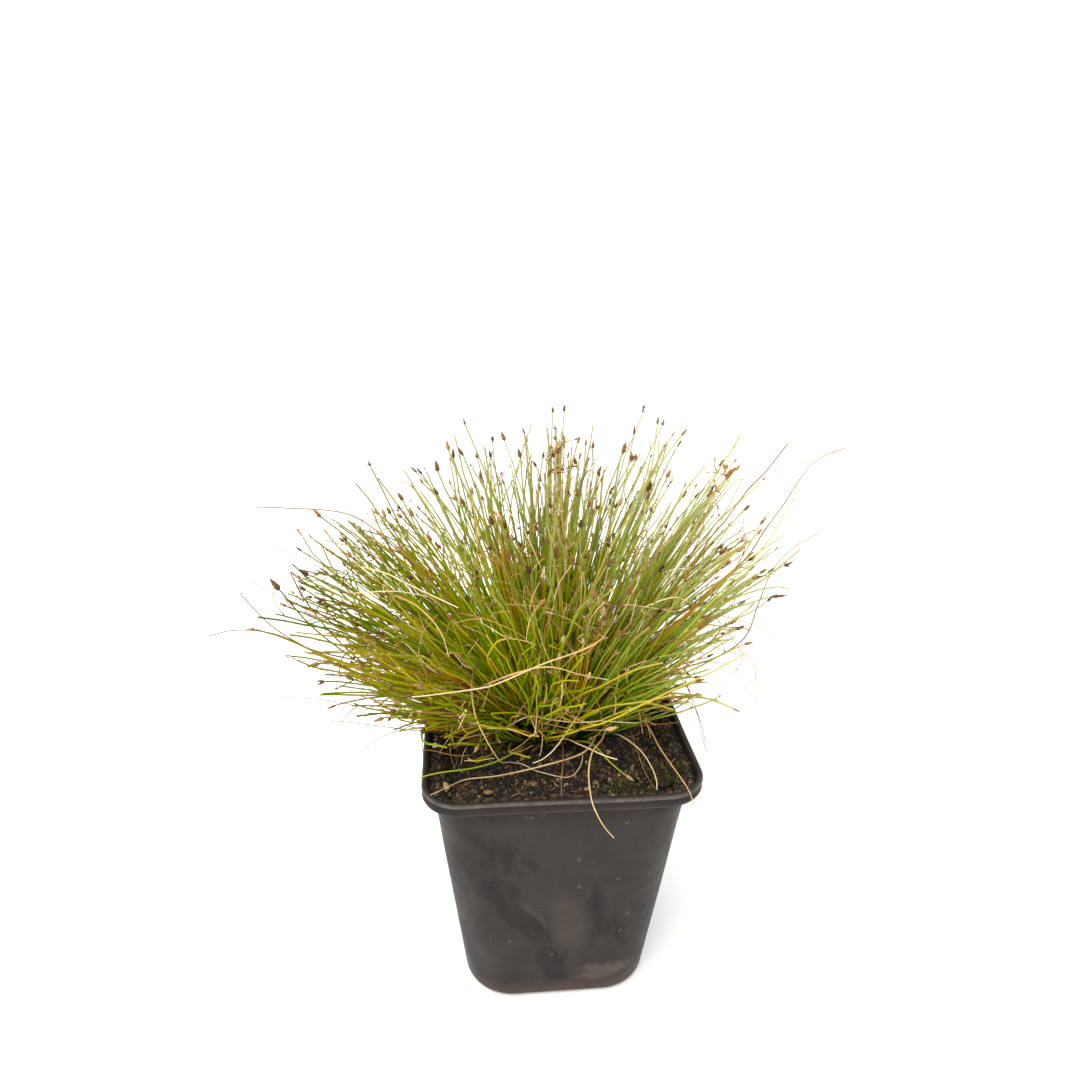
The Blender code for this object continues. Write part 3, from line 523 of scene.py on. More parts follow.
def moulded_pot_plastic(look):
    """Recycled polypropylene, injection moulded: a dull dark grey-brown skin.

    Dried water leaves cloudy patches and runs, peat dust sits on it in
    specks, and its fine grain spreads the highlights.
    """
    material, node, shader, place = start_material("Recycled polypropylene, moulded", 0.5, 1.49, 0.2)
    cloud = node("ShaderNodeTexNoise", {
        "Vector": place, "Scale": 1 / (26 * MM), "Detail": 8, "Roughness": 0.66, "Distortion": 1.2})
    # The edges of the stains wander by about 2 mm, and those of the specks by less
    wander = node("ShaderNodeTexNoise", {
        "Vector": place, "Scale": 1 / (5 * MM), "Detail": 3, "Roughness": 0.65})
    centred = node("ShaderNodeVectorMath", [wander.outputs["Color"], (0.5,) * 3], operation="SUBTRACT")
    ragged, uneven = [
        node("ShaderNodeVectorMath", [centred, (most,) * 3, place], operation="MULTIPLY_ADD")
        for most in (6 * MM, 2.2 * MM)]
    blots = node("ShaderNodeMapRange", [wander, 0.5, 0.56, 0, 0.6])
    mottled = node("ShaderNodeMath", [
        marks(node, ragged, [MOTTLED_STAIN], 0.4), blots], operation="MULTIPLY")
    stretched = node("ShaderNodeMapping", {"Vector": place, "Scale": (1, 1, 0.3)})
    runs = node("ShaderNodeTexNoise", {
        "Vector": stretched, "Scale": 1 / (9 * MM), "Detail": 5, "Roughness": 0.62})
    specks = node("ShaderNodeTexVoronoi", {"Vector": place, "Scale": 1 / (5 * MM)})
    pale_specks = [(*spot, 0.5, 0.7, 20) for spot in PALE_SPECKS]
    height = node("ShaderNodeSeparateXYZ", [ragged]).outputs["Z"]
    foot = node("ShaderNodeMapRange", [height, 9 * MM, 1 * MM, 0, 0.9])
    splash = node("ShaderNodeMath", [foot, wander], operation="MULTIPLY")
    # Painted light, carried by the pot's rings: a painted highlight below 0 and painted shade above 0, with
    # peat soiling the wall inside as well
    wear = node("ShaderNodeAttribute", attribute_name="wear").outputs["Fac"]
    sheen_and_polish = node("ShaderNodeMapRange", [wear, 0, -1, 0, 1])
    patchy = node("ShaderNodeMapRange", [wander, 0.35, 0.65, 0.3, 0.85])
    sheen_and_polish = node("ShaderNodeMath", [sheen_and_polish, patchy], operation="MULTIPLY")

    # Cloudy patches, stains, a painted reflection as a pale sheen near the foot, faint
    # runs drawn out downwards, dust and specks, peat splashed along the foot, a painted
    # highlight on the lip, which rubbing has also polished, and painted shade under the
    # band and on the wall inside, which peat also soils
    colour = (*look.colour, 1)
    stain = (*look.stain_colour, 1)
    for mask, most, coat in (
            (node("ShaderNodeMapRange", [cloud, 0.4, 0.62, 0, 0.45]), 1, stain),
            (marks(node, ragged, DARK_STAINS, 0.12), 0.72, stain),
            (marks(node, ragged, PALE_STAINS_AND_SHEEN, 0.35), 0.4, "#48403A"),
            (marks(node, ragged, FOOT_SHEEN, 0.6), 0.24, "#6A6058"),
            (mottled, 1, stain),
            (node("ShaderNodeMapRange", [runs, 0.5, 0.78, 0, 0.25]), 1, "#464040"),
            (node("ShaderNodeMapRange", [specks, 0.07, 0.04, 0, 0.35]), 1, "#7C746C"),
            (marks(node, uneven, pale_specks, 0.5), 0.17, "#8F8880"),
            (marks(node, uneven, [(*DARK_SPECK, 0.6, 0.6, 0)], 0.3), 1, "#0E0B0A"),
            (splash, 1, "#5E4A40"),
            (sheen_and_polish, 1, "#6E665F"),
            (node("ShaderNodeMapRange", [wear, 0, 1, 0, 0.9]), 1, "#100E0B")):
        part = node("ShaderNodeMath", [mask, most], operation="MULTIPLY")
        colour = node("ShaderNodeMix", [part, colour, coat], data_type="RGBA")
    dull = node("ShaderNodeMapRange", [cloud, 0.3, 0.7, 0.42, 0.6])
    polish = node("ShaderNodeMath", [sheen_and_polish, -0.2, dull], operation="MULTIPLY_ADD")
    # The moulded grain is really about 0.1 mm, and is drawn at 0.35 mm so that it shows
    grain = node("ShaderNodeTexNoise", {"Vector": place, "Scale": 1 / (0.35 * MM), "Detail": 2})
    bump = node("ShaderNodeBump", {"Height": grain, "Strength": 0.12, "Distance": 0.08 * MM})
    feed(shader, {"Base Color": colour, "Roughness": polish, "Normal": bump})
    return material


def toned_material(name, tones, roughness, grain, bump_height=0, patch=0, gloss=0.5):
    """A material whose colour runs through tones by each piece's own number.

    grain is the size of its fine mottling in metres, bump_height is how far
    that stands proud, and patch is the size of its darker and paler areas.
    """
    material, node, shader, place = start_material(name, roughness, 1.45, gloss)
    tone = node("ShaderNodeAttribute", attribute_name="tone").outputs["Fac"]
    mottle = node("ShaderNodeTexNoise", {
        "Vector": place, "Scale": 1 / grain, "Detail": 3, "Roughness": 0.6})
    shifts = [(mottle, 0.12)]
    if patch:
        shifts.append((node("ShaderNodeTexNoise", {"Vector": place, "Scale": 1 / patch, "Detail": 2}), 0.2))
    for source, most in shifts:
        shift = node("ShaderNodeMapRange", [source, 0.3, 0.7, -most, most])
        tone = node("ShaderNodeMath", [tone, shift])
    feed(shader, {"Base Color": node("ShaderNodeValToRGB", [tone], tones)})
    if bump_height:
        bump = node("ShaderNodeBump", {"Height": mottle, "Strength": 0.6, "Distance": bump_height})
        feed(shader, {"Normal": bump})
    return material


def stem_material(name, foot_tones, tip_tones, roughness, straw_and_light=0, soil=0):
    """A waxy or dry stem: one run of tones at the foot and another at the tip.

    Each stem takes its own place in the runs, and its colour slides from the
    foot's to the tip's, with slow blotches where it yellows. The first number after
    the roughness is how far tips high up have turned to straw and how far those far
    to the right are painted pale as light washing over them; soil is how far shade
    is painted dark on what hangs low near the peat. The foot of every stem is
    painted dark as shade as well.
    """
    material, node, shader, place = start_material(name, roughness, 1.45, 0.03)
    tone, along = [
        node("ShaderNodeAttribute", attribute_name=label).outputs["Fac"] for label in ("tone", "along")]
    # Blotches about 9 mm long, as yellowing runs on a live stem
    blotch = node("ShaderNodeTexNoise", {"Vector": place, "Scale": 1 / (9 * MM), "Detail": 2})
    shift = node("ShaderNodeMapRange", [blotch, 0.3, 0.7, -0.14, 0.14])
    mixed = node("ShaderNodeMath", [tone, shift])
    foot, tip = [node("ShaderNodeValToRGB", [mixed], tones) for tones in (foot_tones, tip_tones)]
    slide = node("ShaderNodeMapRange", [along, 0.3, 1, 0, 1])
    colour = node("ShaderNodeMix", [slide, foot, tip], data_type="RGBA")
    # Shade is painted dark on the lowest part of each stem and on what hangs low near the peat
    painted_foot_shade = node("ShaderNodeMapRange", [along, 0.05, 0.24, 0.9, 0])
    where = node("ShaderNodeSeparateXYZ", [place]).outputs
    low = node("ShaderNodeMapRange", [where["Z"], 90 * MM, 112 * MM, soil, 0])
    foot_and_low_shade = node("ShaderNodeMath", [painted_foot_shade, low], operation="MAXIMUM")
    colour = node("ShaderNodeMix", [foot_and_low_shade, colour, "#1C150A"], data_type="RGBA")
    # High tips have turned to straw, the ones far out on the right are painted pale as
    # light washing over them, and those far out on the left are painted dark as shade
    for axis, near, far, most, coat in (
            ("Z", 146, 186, straw_and_light, "#BEB084"),
            ("X", 6, 85, straw_and_light, "#D2D4A0"),
            ("X", -34, -85, 0.5, "#343614")):
        part = node("ShaderNodeMapRange", [where[axis], near * MM, far * MM, 0, most])
        part = node("ShaderNodeMath", [part, slide], operation="MULTIPLY")
        colour = node("ShaderNodeMix", [part, colour, coat], data_type="RGBA")
    feed(shader, {"Base Color": colour})
    return material


def dried_stem():
    """Sedge stem, dead and dried: matt straw, from cream to brown."""
    return stem_material("Sedge stem, dried", (
        (0.0, "#E0C48E"), (0.3, "#C8A068"), (0.6, "#AA7C3E"), (0.85, "#886036"), (1.0, "#64482E")), (
        (0.0, "#EADCB8"), (0.3, "#D0B384"), (0.6, "#AE8650"), (0.85, "#866442"), (1.0, "#624C3A")), 0.7)


def papery_spike():
    """Flower spikes of papery scales: brown, bleached where they have shed their seed."""
    return toned_material("Sedge flower spike, papery", (
        (0.0, "#463018"), (0.25, "#6A4A28"), (0.5, "#886236"), (0.75, "#A27C4A"),
        (0.9, "#BA9A6A"), (1.0, "#CEB88E")), 0.75, 0.6 * MM, 0.12 * MM, gloss=0.12)


def new_tree(name, sizes):
    """A tree with geometry in and out, the function that adds its nodes, and its inputs."""
    tree = bpy.data.node_groups.new(name, "GeometryNodeTree")
    for label, kind in {"Geometry": "Geometry", **sizes}.items():
        tree.interface.new_socket(label, in_out="INPUT", socket_type="NodeSocket" + kind)
    tree.interface.new_socket("Geometry", in_out="OUTPUT", socket_type="NodeSocketGeometry")
    return tree, functools.partial(add, tree), add(tree, "NodeGroupInput").outputs


def end_tree(tree, geometry, material):
    """Close a tree with its instances made real and its material set."""
    real = add(tree, "GeometryNodeRealizeInstances", [geometry])
    dressed = add(tree, "GeometryNodeSetMaterial", {"Geometry": real, "Material": material})
    add(tree, "NodeGroupOutput", [dressed])


def bowed_lines():
    """Node group: a bowed centre line for each root point.

    A line starts at its point's start_lean from upright and turns by bend
    before its tip, so its course is an arc; twist carries it round sideways,
    and a slow noise sways it more towards the tip.
    """
    tree, node, given = new_tree("bowed lines", LINE_SIZES)
    start_lean, bend, around, twist, reach, chance = [
        node("GeometryNodeInputNamedAttribute", {"Name": name})
        for name in ("start_lean", "bend", "around", "twist", "reach", "chance")]
    root = node("GeometryNodeInputNamedAttribute", {"Name": "root"}, data_type="FLOAT_VECTOR")

    line = node("GeometryNodeCurvePrimitiveLine", {"End": (0, 0, 1)})
    jointed = node("GeometryNodeResampleCurve", {"Curve": line, "Count": given["Joints"]})
    placed = node("GeometryNodeInstanceOnPoints", {"Points": given["Geometry"], "Instance": jointed})
    lines = node("GeometryNodeRealizeInstances", [placed])

    share = node("GeometryNodeSplineParameter")
    lean = node("ShaderNodeMath", [bend, share, start_lean], operation="MULTIPLY_ADD")
    sine, first_sine, cosine, first_cosine = [
        node("ShaderNodeMath", [angle], operation=kind)
        for kind in ("SINE", "COSINE") for angle in (lean, start_lean)]
    rise = node("ShaderNodeMath", [sine, first_sine], operation="SUBTRACT")
    out = node("ShaderNodeMath", [first_cosine, cosine], operation="SUBTRACT")
    size = node("ShaderNodeMath", [reach, bend], operation="DIVIDE")
    flat = node("ShaderNodeCombineXYZ", [out, 0, rise])
    arc = node("ShaderNodeVectorMath", [flat, size], operation="SCALE")
    share_squared = node("ShaderNodeMath", [share, share], operation="MULTIPLY")
    heading = node("ShaderNodeMath", [twist, share_squared, around], operation="MULTIPLY_ADD")
    turned = node("ShaderNodeVectorRotate", {"Vector": arc, "Angle": heading}, rotation_type="Z_AXIS")

    lane = node("ShaderNodeMath", [chance, 60], operation="MULTIPLY")
    fineness = node("ShaderNodeMath", [1, given["Sway Size"]], operation="DIVIDE")
    drift = node("ShaderNodeTexNoise", {
        "Vector": turned, "W": lane, "Scale": fineness, "Detail": 1}, noise_dimensions="4D")
    centred = node("ShaderNodeVectorMath", [drift.outputs["Color"], (0.5,) * 3], operation="SUBTRACT")
    swing = node("ShaderNodeMath", [given["Sway"], share], operation="MULTIPLY")
    sway = node("ShaderNodeVectorMath", [centred, swing], operation="SCALE")
    offset = node("ShaderNodeVectorMath", [turned, sway])
    place = node("ShaderNodeVectorMath", [root, offset])
    bowed = node("GeometryNodeSetPosition", {"Geometry": lines, "Position": place})
    node("NodeGroupOutput", [bowed])
    return tree


def laid_lines():
    """Node group: a smooth centre line through each chain of points."""
    tree, node, given = new_tree("laid lines", LINE_SIZES)
    chain = node("GeometryNodeMeshToCurve", [given["Geometry"]])
    smooth = node("GeometryNodeCurveSplineType", [chain], spline_type="CATMULL_ROM")
    jointed = node("GeometryNodeResampleCurve", {"Curve": smooth, "Count": given["Joints"]})
    node("NodeGroupOutput", [jointed])
    return tree


def stem_tree(name, lines):
    """Tree: a round skin on every centre line, thinner towards the tip."""
    tree, node, given = new_tree(name, {
        **LINE_SIZES, "Radius": "Float", "Tip Share": "Float", "Sides": "Int", "Material": "Material"})
    centre = node("GeometryNodeGroup", given[:len(LINE_SIZES) + 1], node_tree=lines)
    share = node("GeometryNodeSplineParameter")
    marked = node("GeometryNodeStoreNamedAttribute", {
        "Geometry": centre, "Name": "along", "Value": share})
    girth = node("GeometryNodeInputNamedAttribute", {"Name": "girth"})
    taper = node("ShaderNodeMapRange", [share, 0, 1, 1, given["Tip Share"]])
    thick = node("ShaderNodeMath", [girth, taper], operation="MULTIPLY")
    radius = node("ShaderNodeMath", [thick, given["Radius"]], operation="MULTIPLY")
    ring = node("GeometryNodeCurvePrimitiveCircle", {"Resolution": given["Sides"]})
    skin = node("GeometryNodeCurveToMesh", {
        "Curve": marked, "Profile Curve": ring, "Scale": radius, "Fill Caps": True})
    soft = node("GeometryNodeSetShadeSmooth", [skin])
    end_tree(tree, soft, given["Material"])
    return tree


def spike_tree(name, lines):
    """Tree: one of the flower spikes at the tip of each centre line that bears one."""
    tree, node, given = new_tree(name, {
        **LINE_SIZES, "Spikes": "Collection", "Seed": "Int", "Material": "Material"})
    centre = node("GeometryNodeGroup", given[:len(LINE_SIZES) + 1], node_tree=lines)
    size = node("GeometryNodeInputNamedAttribute", {"Name": "spike"})
    bears = node("FunctionNodeCompare", {"A": size, "B": 0})
    at_tip = node("GeometryNodeCurveEndpointSelection", {"Start Size": 0, "End Size": 1})
    chosen = node("FunctionNodeBooleanMath", [bears, at_tip])
    tangent = node("GeometryNodeInputTangent")
    upright = node("FunctionNodeAlignRotationToVector", {"Vector": tangent}, axis="Z")
    spin = node("FunctionNodeRandomValue", {
        "Min": (-0.2, -0.2, -3.14), "Max": (0.2, 0.2, 3.14), "Seed": given["Seed"]},
        data_type="FLOAT_VECTOR")
    turned = node("FunctionNodeRotateRotation", [upright, spin], rotation_space="LOCAL")
    shapes = node("GeometryNodeCollectionInfo", [given["Spikes"], True, True])
    placed = node("GeometryNodeInstanceOnPoints", {
        "Points": centre, "Selection": chosen, "Instance": shapes, "Pick Instance": True,
        "Rotation": turned, "Scale": size})
    end_tree(tree, placed, given["Material"])
    return tree


def scatter_tree():
    """Tree: shapes strewn over a surface, thickest where its cover attribute is 1."""
    tree, node, given = new_tree("strewn shapes", {
        "Density": "Float", "Smallest": "Float", "Largest": "Float", "Tilt": "Float",
        "Shapes": "Collection", "Keep Ground": "Bool", "Seed": "Int", "Material": "Material"})
    seed = given["Seed"]
    cover = node("GeometryNodeInputNamedAttribute", {"Name": "cover"})
    density = node("ShaderNodeMath", [cover, given["Density"]], operation="MULTIPLY")
    points = node("GeometryNodeDistributePointsOnFaces", {
        "Mesh": given["Geometry"], "Density": density, "Seed": seed})
    tilt = given["Tilt"]
    tilt_low = node("ShaderNodeMath", [tilt, -1], operation="MULTIPLY")
    turn = node("FunctionNodeRandomValue", {
        "Min": node("ShaderNodeCombineXYZ", [tilt_low, tilt_low, -math.pi]),
        "Max": node("ShaderNodeCombineXYZ", [tilt, tilt, math.pi]), "Seed": seed},
        data_type="FLOAT_VECTOR")
    turned = node("FunctionNodeRotateRotation", [
        points.outputs["Rotation"], turn], rotation_space="LOCAL")
    chance, tone = [
        node("FunctionNodeRandomValue", {"Seed": node("ShaderNodeMath", [seed, more])}) for more in (7, 19)]
    few_large = node("ShaderNodeMath", [chance, 2.2], operation="POWER")
    size = node("ShaderNodeMapRange", [few_large, 0, 1, given["Smallest"], given["Largest"]])
    shapes = node("GeometryNodeCollectionInfo", [given["Shapes"], True, True])
    placed = node("GeometryNodeInstanceOnPoints", {
        "Points": points, "Instance": shapes, "Pick Instance": True, "Rotation": turned,
        "Scale": size})
    toned = node("GeometryNodeStoreNamedAttribute", {
        "Geometry": placed, "Name": "tone", "Value": tone}, domain="INSTANCE")
    ground = node("GeometryNodeSwitch", {
        "Switch": given["Keep Ground"], "True": given["Geometry"]}, input_type="GEOMETRY")
    both = node("GeometryNodeJoinGeometry", [ground])
    feed(both, [toned])
    end_tree(tree, both, given["Material"])
    return tree


def keep_result(piece, modifier):
    """Give a piece the mesh that its modifier makes, and remove the modifier."""
    view = bpy.context.evaluated_depsgraph_get()
    made = bpy.data.meshes.new_from_object(piece.evaluated_get(view), depsgraph=view)
    piece.modifiers.remove(modifier)
    piece.data = made


def run_tree(name, mesh, tree, **sizes):
    """An object whose mesh is what a tree makes of another mesh."""
    piece = bpy.data.objects.new(name, mesh)
    bpy.context.scene.collection.objects.link(piece)
    modifier = piece.modifiers.new("grow", "NODES")
    modifier.node_group = tree
    for item in tree.interface.items_tree:
        label = item.name.lower().replace(" ", "_")
        if item.in_out == "INPUT" and label in sizes:
            modifier[item.identifier] = sizes[label]
    keep_result(piece, modifier)
    piece.data.name = name
    return piece


def smooth_mesh(name, shape):
    """A smooth mesh from a bmesh, which it uses up."""
    mesh = bpy.data.meshes.new(name)
    shape.to_mesh(mesh)
    shape.free()
    mesh.shade_smooth()
    return mesh


def mesh_piece(name, shape, material, smooth_angle=math.radians(40)):
    """An object from a bmesh, with its soft edges smooth."""
    mesh = smooth_mesh(name, shape)
    mesh.set_sharp_from_angle(angle=smooth_angle)
    mesh.materials.append(material)
    piece = bpy.data.objects.new(name, mesh)
    bpy.context.scene.collection.objects.link(piece)
    return piece


def settle(piece, slot, *nodes):
    """Fasten a finished piece to the pot's body, in place of CAD nodes."""
    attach(piece, "root")
    if nodes:
        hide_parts(*nodes)


def turns(count):
    """Angles at even steps all the way round."""
    return [step / count * 2 * math.pi for step in range(count)]


def outwards(angle):
    """The level direction at an angle from +X."""
    return Vector((math.cos(angle), math.sin(angle), 0))


def clamp(value):
    """A value kept within 0 and 1."""
    return min(1.0, max(0.0, value))


def rounded_square(half, corner, z, corner_steps, side_steps):
    """Points round a square of half width half, anticlockwise from above."""
    points = []
    for start in turns(4):
        turn = outwards(start)
        middle = (half - corner) * (turn + Vector((-turn.y, turn.x, 0)))
        for step in range(corner_steps + 1):
            arm = outwards(start + step / corner_steps * math.pi / 2) * corner
            points.append(middle + arm + UP * z)
        last = points[-1]
        for step in range(1, side_steps):
            points.append(last - 2 * (half - corner) * step / side_steps * turn)
    return points


def skin_rings(shape, rings):
    """Faces from each ring of points to the next, and a lid on both ends."""
    loops = [[shape.verts.new(point) for point in ring] for ring in rings]
    count = len(loops[0])
    for near, far in zip(loops, loops[1:]):
        for index in range(count):
            after = (index + 1) % count
            shape.faces.new((near[index], near[after], far[after], far[index]))
    shape.faces.new(loops[0])
    shape.faces.new(loops[-1])
    bmesh.ops.recalc_face_normals(shape, faces=shape.faces[:])


def body_at(z):
    """Half width and corner radius of the pot's outer wall at height z."""
    part = (z - BASE_EDGE) / (POT_HEIGHT - BAND_HEIGHT - BASE_EDGE)
    half = BASE_HALF + part * (BODY_TOP_HALF - BASE_HALF)
    return half, BASE_CORNER + part * (BODY_TOP_CORNER - BASE_CORNER)


def quarter(steps):
    """Sine and cosine at even steps through a quarter of a turn."""
    angles = [step / steps * math.pi / 2 for step in range(steps + 1)]
    return [(math.sin(angle), math.cos(angle)) for angle in angles]


def pot_stations(wall):
    """Half width, corner radius, height and painted light of each ring of the pot.

    They run from the underside up the outside, over the rim and down the
    inside to the floor. The last value is -1 where the lip is painted pale as a
    highlight on plastic that rubbing has also polished, and 1 on the wall inside,
    where shade is painted dark on plastic that peat and algae also soil; between
    them it paints a lighter highlight and shade on the band and under it.
    """
    rim = POT_WIDTH / 2
    band_low = POT_HEIGHT - BAND_HEIGHT
    ledge = POT_HEIGHT - SHOULDER_DEPTH
    body_high = band_low - 1.6 * MM
    inner_corner = RIM_CORNER - RIM_TOP_WIDTH
    stations = []
    for sine, cosine in quarter(6):
        inset = BASE_EDGE * (1 - sine)
        stations.append((BASE_HALF - inset, BASE_CORNER - inset, BASE_EDGE * (1 - cosine), 0))
    for step in range(1, 14):
        z = BASE_EDGE + step / 14 * (body_high - BASE_EDGE)
        stations.append((*body_at(z), z, 0))
    # Under the band shade is painted dark, and up the band a pale highlight and a darker neck are painted
    for out, up, wear in BODY_TOP_RINGS:
        stations.append((BODY_TOP_HALF + out * MM, BODY_TOP_CORNER, band_low + up * MM, wear))
    for inset, up, wear in BAND_RINGS:
        stations.append((rim - inset * MM, RIM_CORNER, band_low + up * MM, wear))
    # The rounded lip is painted pale, a painted highlight on plastic that rubbing has also polished
    for step, (sine, cosine) in enumerate(quarter(4)):
        inset = RIM_EDGE * (1 - cosine)
        z = POT_HEIGHT - RIM_EDGE * (1 - sine)
        stations.append((rim - inset, RIM_CORNER - inset, z, -0.9 + 0.2 * step))
    for sine, cosine in quarter(4)[1:]:
        inset = RIM_TOP_WIDTH - RIM_EDGE / 2 * (1 - sine)
        stations.append((rim - inset, inner_corner, POT_HEIGHT - RIM_EDGE / 2 * (1 - cosine), 0))
    # Down the inside, shade is painted dark on a wall that peat and algae also soil
    for inset, up in ((0.4, 0.6), (0.55, 0.15), (0.9, 0)):
        stations.append((rim - RIM_TOP_WIDTH - inset * MM, inner_corner, ledge + up * MM, 1))
    inside = body_at(ledge)[0] - wall
    for out, down in ((0.5, 0), (0.15, 0.15), (0, 0.6)):
        stations.append((inside + out * MM, BODY_TOP_CORNER - wall, ledge - down * MM, 1))
    for step in range(1, 10):
        z = ledge - 0.6 * MM - step / 9 * (ledge - 0.6 * MM - BASE_EDGE - FLOOR + wall)
        half, corner = body_at(z)
        stations.append((half - wall, corner - wall, z, 1))
    stations.append((BASE_HALF - BASE_EDGE, BASE_CORNER - BASE_EDGE, FLOOR, 1))
    return stations


def pot_warp(point, most):
    """How far the thin wall bows from true at a point, nothing at its foot."""
    height = min(1.0, point.z / POT_HEIGHT)
    bow = noise.noise_vector(point / (38 * MM)) * most * height
    bow.z *= 0.5 * height ** 4
    # A lump that the mould left on the inside of the front rim
    from_front = point.y + POT_WIDTH / 2
    if 0.9 * MM < from_front < 4 * MM and point.z > POT_HEIGHT - 1.2 * MM:
        bow.z += math.exp(-((point.x - 12 * MM) / (1.8 * MM)) ** 4) * 0.6 * MM
    return bow


class GRASS_OT_pot(bpy.types.Operator):
    """Mould the pot, warp it a little and drill its floor"""

    bl_idname = "potted_grass.pot"
    bl_label = "Pot"

    def execute(self, context):
        look = context.scene.pot_look
        # Without a seed, the noise that bows the walls would differ from run to run
        noise.seed_set(WARP_SEED)
        shape = bmesh.new()
        stations = pot_stations(look.wall)
        rings = [rounded_square(*station[:3], 16, 16) for station in stations]
        skin_rings(shape, rings)
        # Each corner carries its ring's painted light: a painted highlight below 0 and painted shade above
        # 0
        worn = shape.verts.layers.float.new("wear")
        for number, corner in enumerate(shape.verts):
            corner[worn] = stations[number // len(rings[0])][3]
            corner.co += pot_warp(corner.co, look.warp)
        pot = mesh_piece("moulded_pot", shape, moulded_pot_plastic(look))

        drills = bmesh.new()
        for angle in turns(DRAIN_COUNT):
            made = bmesh.ops.create_cone(
                drills, cap_ends=True, segments=28,
                radius1=DRAIN_RADIUS, radius2=DRAIN_RADIUS, depth=4 * FLOOR)
            bmesh.ops.translate(drills, verts=made["verts"], vec=outwards(angle) * DRAIN_CIRCLE)
        drill = mesh_piece("drain_drills", drills, pot.data.materials[0])
        cut = pot.modifiers.new("drain holes", "BOOLEAN")
        cut.operation = "DIFFERENCE"
        cut.solver = "EXACT"
        cut.object = drill
        keep_result(pot, cut)
        bpy.data.objects.remove(drill)
        pot.data.shade_smooth()
        pot.data.set_sharp_from_angle(angle=math.radians(35))
        settle(pot, "pot_plastic", "pot")
        return {"FINISHED"}


def inside_rim(x, y):
    """How far a point lies inside the rim's inner face."""
    half = POT_WIDTH / 2 - RIM_TOP_WIDTH
    corner = RIM_CORNER - RIM_TOP_WIDTH
    past_x = abs(x) - (half - corner)
    past_y = abs(y) - (half - corner)
    beyond = math.hypot(max(past_x, 0), max(past_y, 0)) + min(max(past_x, past_y), 0)
    return corner - beyond


def peat_height(x, y, relief):
    """Height of the peat: flat under the crown, and banked up on the ledge of the wall."""
    offset_x = (x - CROWN_CENTRE.x) / (CROWN_HALF.x + 4 * MM)
    offset_y = (y - CROWN_CENTRE.y) / (CROWN_HALF.y + 4 * MM)
    away = math.hypot(offset_x, offset_y)
    ripple = math.sin(x / (6 * MM)) * math.cos(y / (5 * MM) + 1)
    ripple += 0.6 * math.sin(x / (2.7 * MM) + 2) * math.sin(y / (3.1 * MM))
    rough = SOIL_TOP - 1.4 * MM + relief * ripple / 1.6
    wave = noise.noise(Vector((x, y, 0)) / (3.4 * MM))
    rough += 1.1 * MM * wave
    climb = clamp((6.2 * MM - inside_rim(x, y)) / (3 * MM))
    banked = POT_HEIGHT - SHOULDER_DEPTH + 0.7 * MM + 0.4 * MM * wave
    rough += (banked - rough) * climb * climb * (3 - 2 * climb)
    return SOIL_TOP + clamp((away - 1) / 0.3) * (rough - SOIL_TOP)


def peat_block(relief):
    """A closed block of peat with a lumpy top."""
    ledge = POT_HEIGHT - SHOULDER_DEPTH
    half = POT_WIDTH / 2 - RIM_TOP_WIDTH - 0.3 * MM
    corner = RIM_CORNER - RIM_TOP_WIDTH
    outline = [(BASE_HALF - BASE_EDGE - 0.3 * MM, BASE_CORNER - BASE_EDGE, FLOOR + 0.3 * MM)]
    for at, inset, z in (
            (4.5 * MM, 1.4, 4.5 * MM), (ledge, 1.5, ledge - 0.8 * MM), (ledge, 1.3, ledge + 0.05 * MM)):
        body, body_corner = body_at(at)
        outline.append((body - inset * MM, body_corner, z))
    outline.append((half, corner, ledge + 0.1 * MM))
    rings = [rounded_square(*place, 10, 40) for place in outline]
    count = 70
    for step in range(count):
        share = 1 - step / count
        ring = rounded_square(half * share, corner * share, 0, 10, 40)
        rings.append([Vector((p.x, p.y, peat_height(p.x, p.y, relief))) for p in ring])
    shape = bmesh.new()
    skin_rings(shape, rings)
    return smooth_mesh("peat block", shape)


def open_peat(face):
    """Where the peat lies open: 1 off the crown and on top, else 0."""
    away = math.hypot(
        (face.center.x - CROWN_CENTRE.x) / CROWN_HALF.x,
        (face.center.y - CROWN_CENTRE.y) / CROWN_HALF.y)
    return 1.0 if face.normal.z > 0.2 and away > 0.9 else 0.0


def peat_for_fibres(face):
    """Open peat far enough from the rim for a fibre to lie on it."""
    return open_peat(face) if inside_rim(face.center.x, face.center.y) > 4 * MM else 0.0


def mossy_peat(face):
    """Where moss has spread over the peat: thickest in the front right corner."""
    far = math.hypot((face.center.x / MM - 31) / 19, (face.center.y / MM + 29) / 14)
    ragged = far + 0.8 * noise.noise(face.center / (5 * MM))
    return open_peat(face) * clamp(1.7 - 1.7 * ragged)


def mark_cover(mesh, rule):
    """Store on each face how thickly shapes are strewn there."""
    cover = [rule(face) for face in mesh.polygons]
    mark = mesh.attributes.get("cover") or mesh.attributes.new("cover", "FLOAT", "FACE")
    mark.data.foreach_set("value", cover)


def shape_set(name, shapes):
    """A collection of small shapes, kept out of the scene, for trees to strew."""
    group = bpy.data.collections.new(name)
    for index, shape in enumerate(shapes):
        mesh = smooth_mesh(f"{name} {index}", shape)
        group.objects.link(bpy.data.objects.new(mesh.name, mesh))
    return group


def clear_set(group):
    """Remove a shape set once its copies are real."""
    for item in list(group.objects):
        bpy.data.objects.remove(item)
    bpy.data.collections.remove(group)


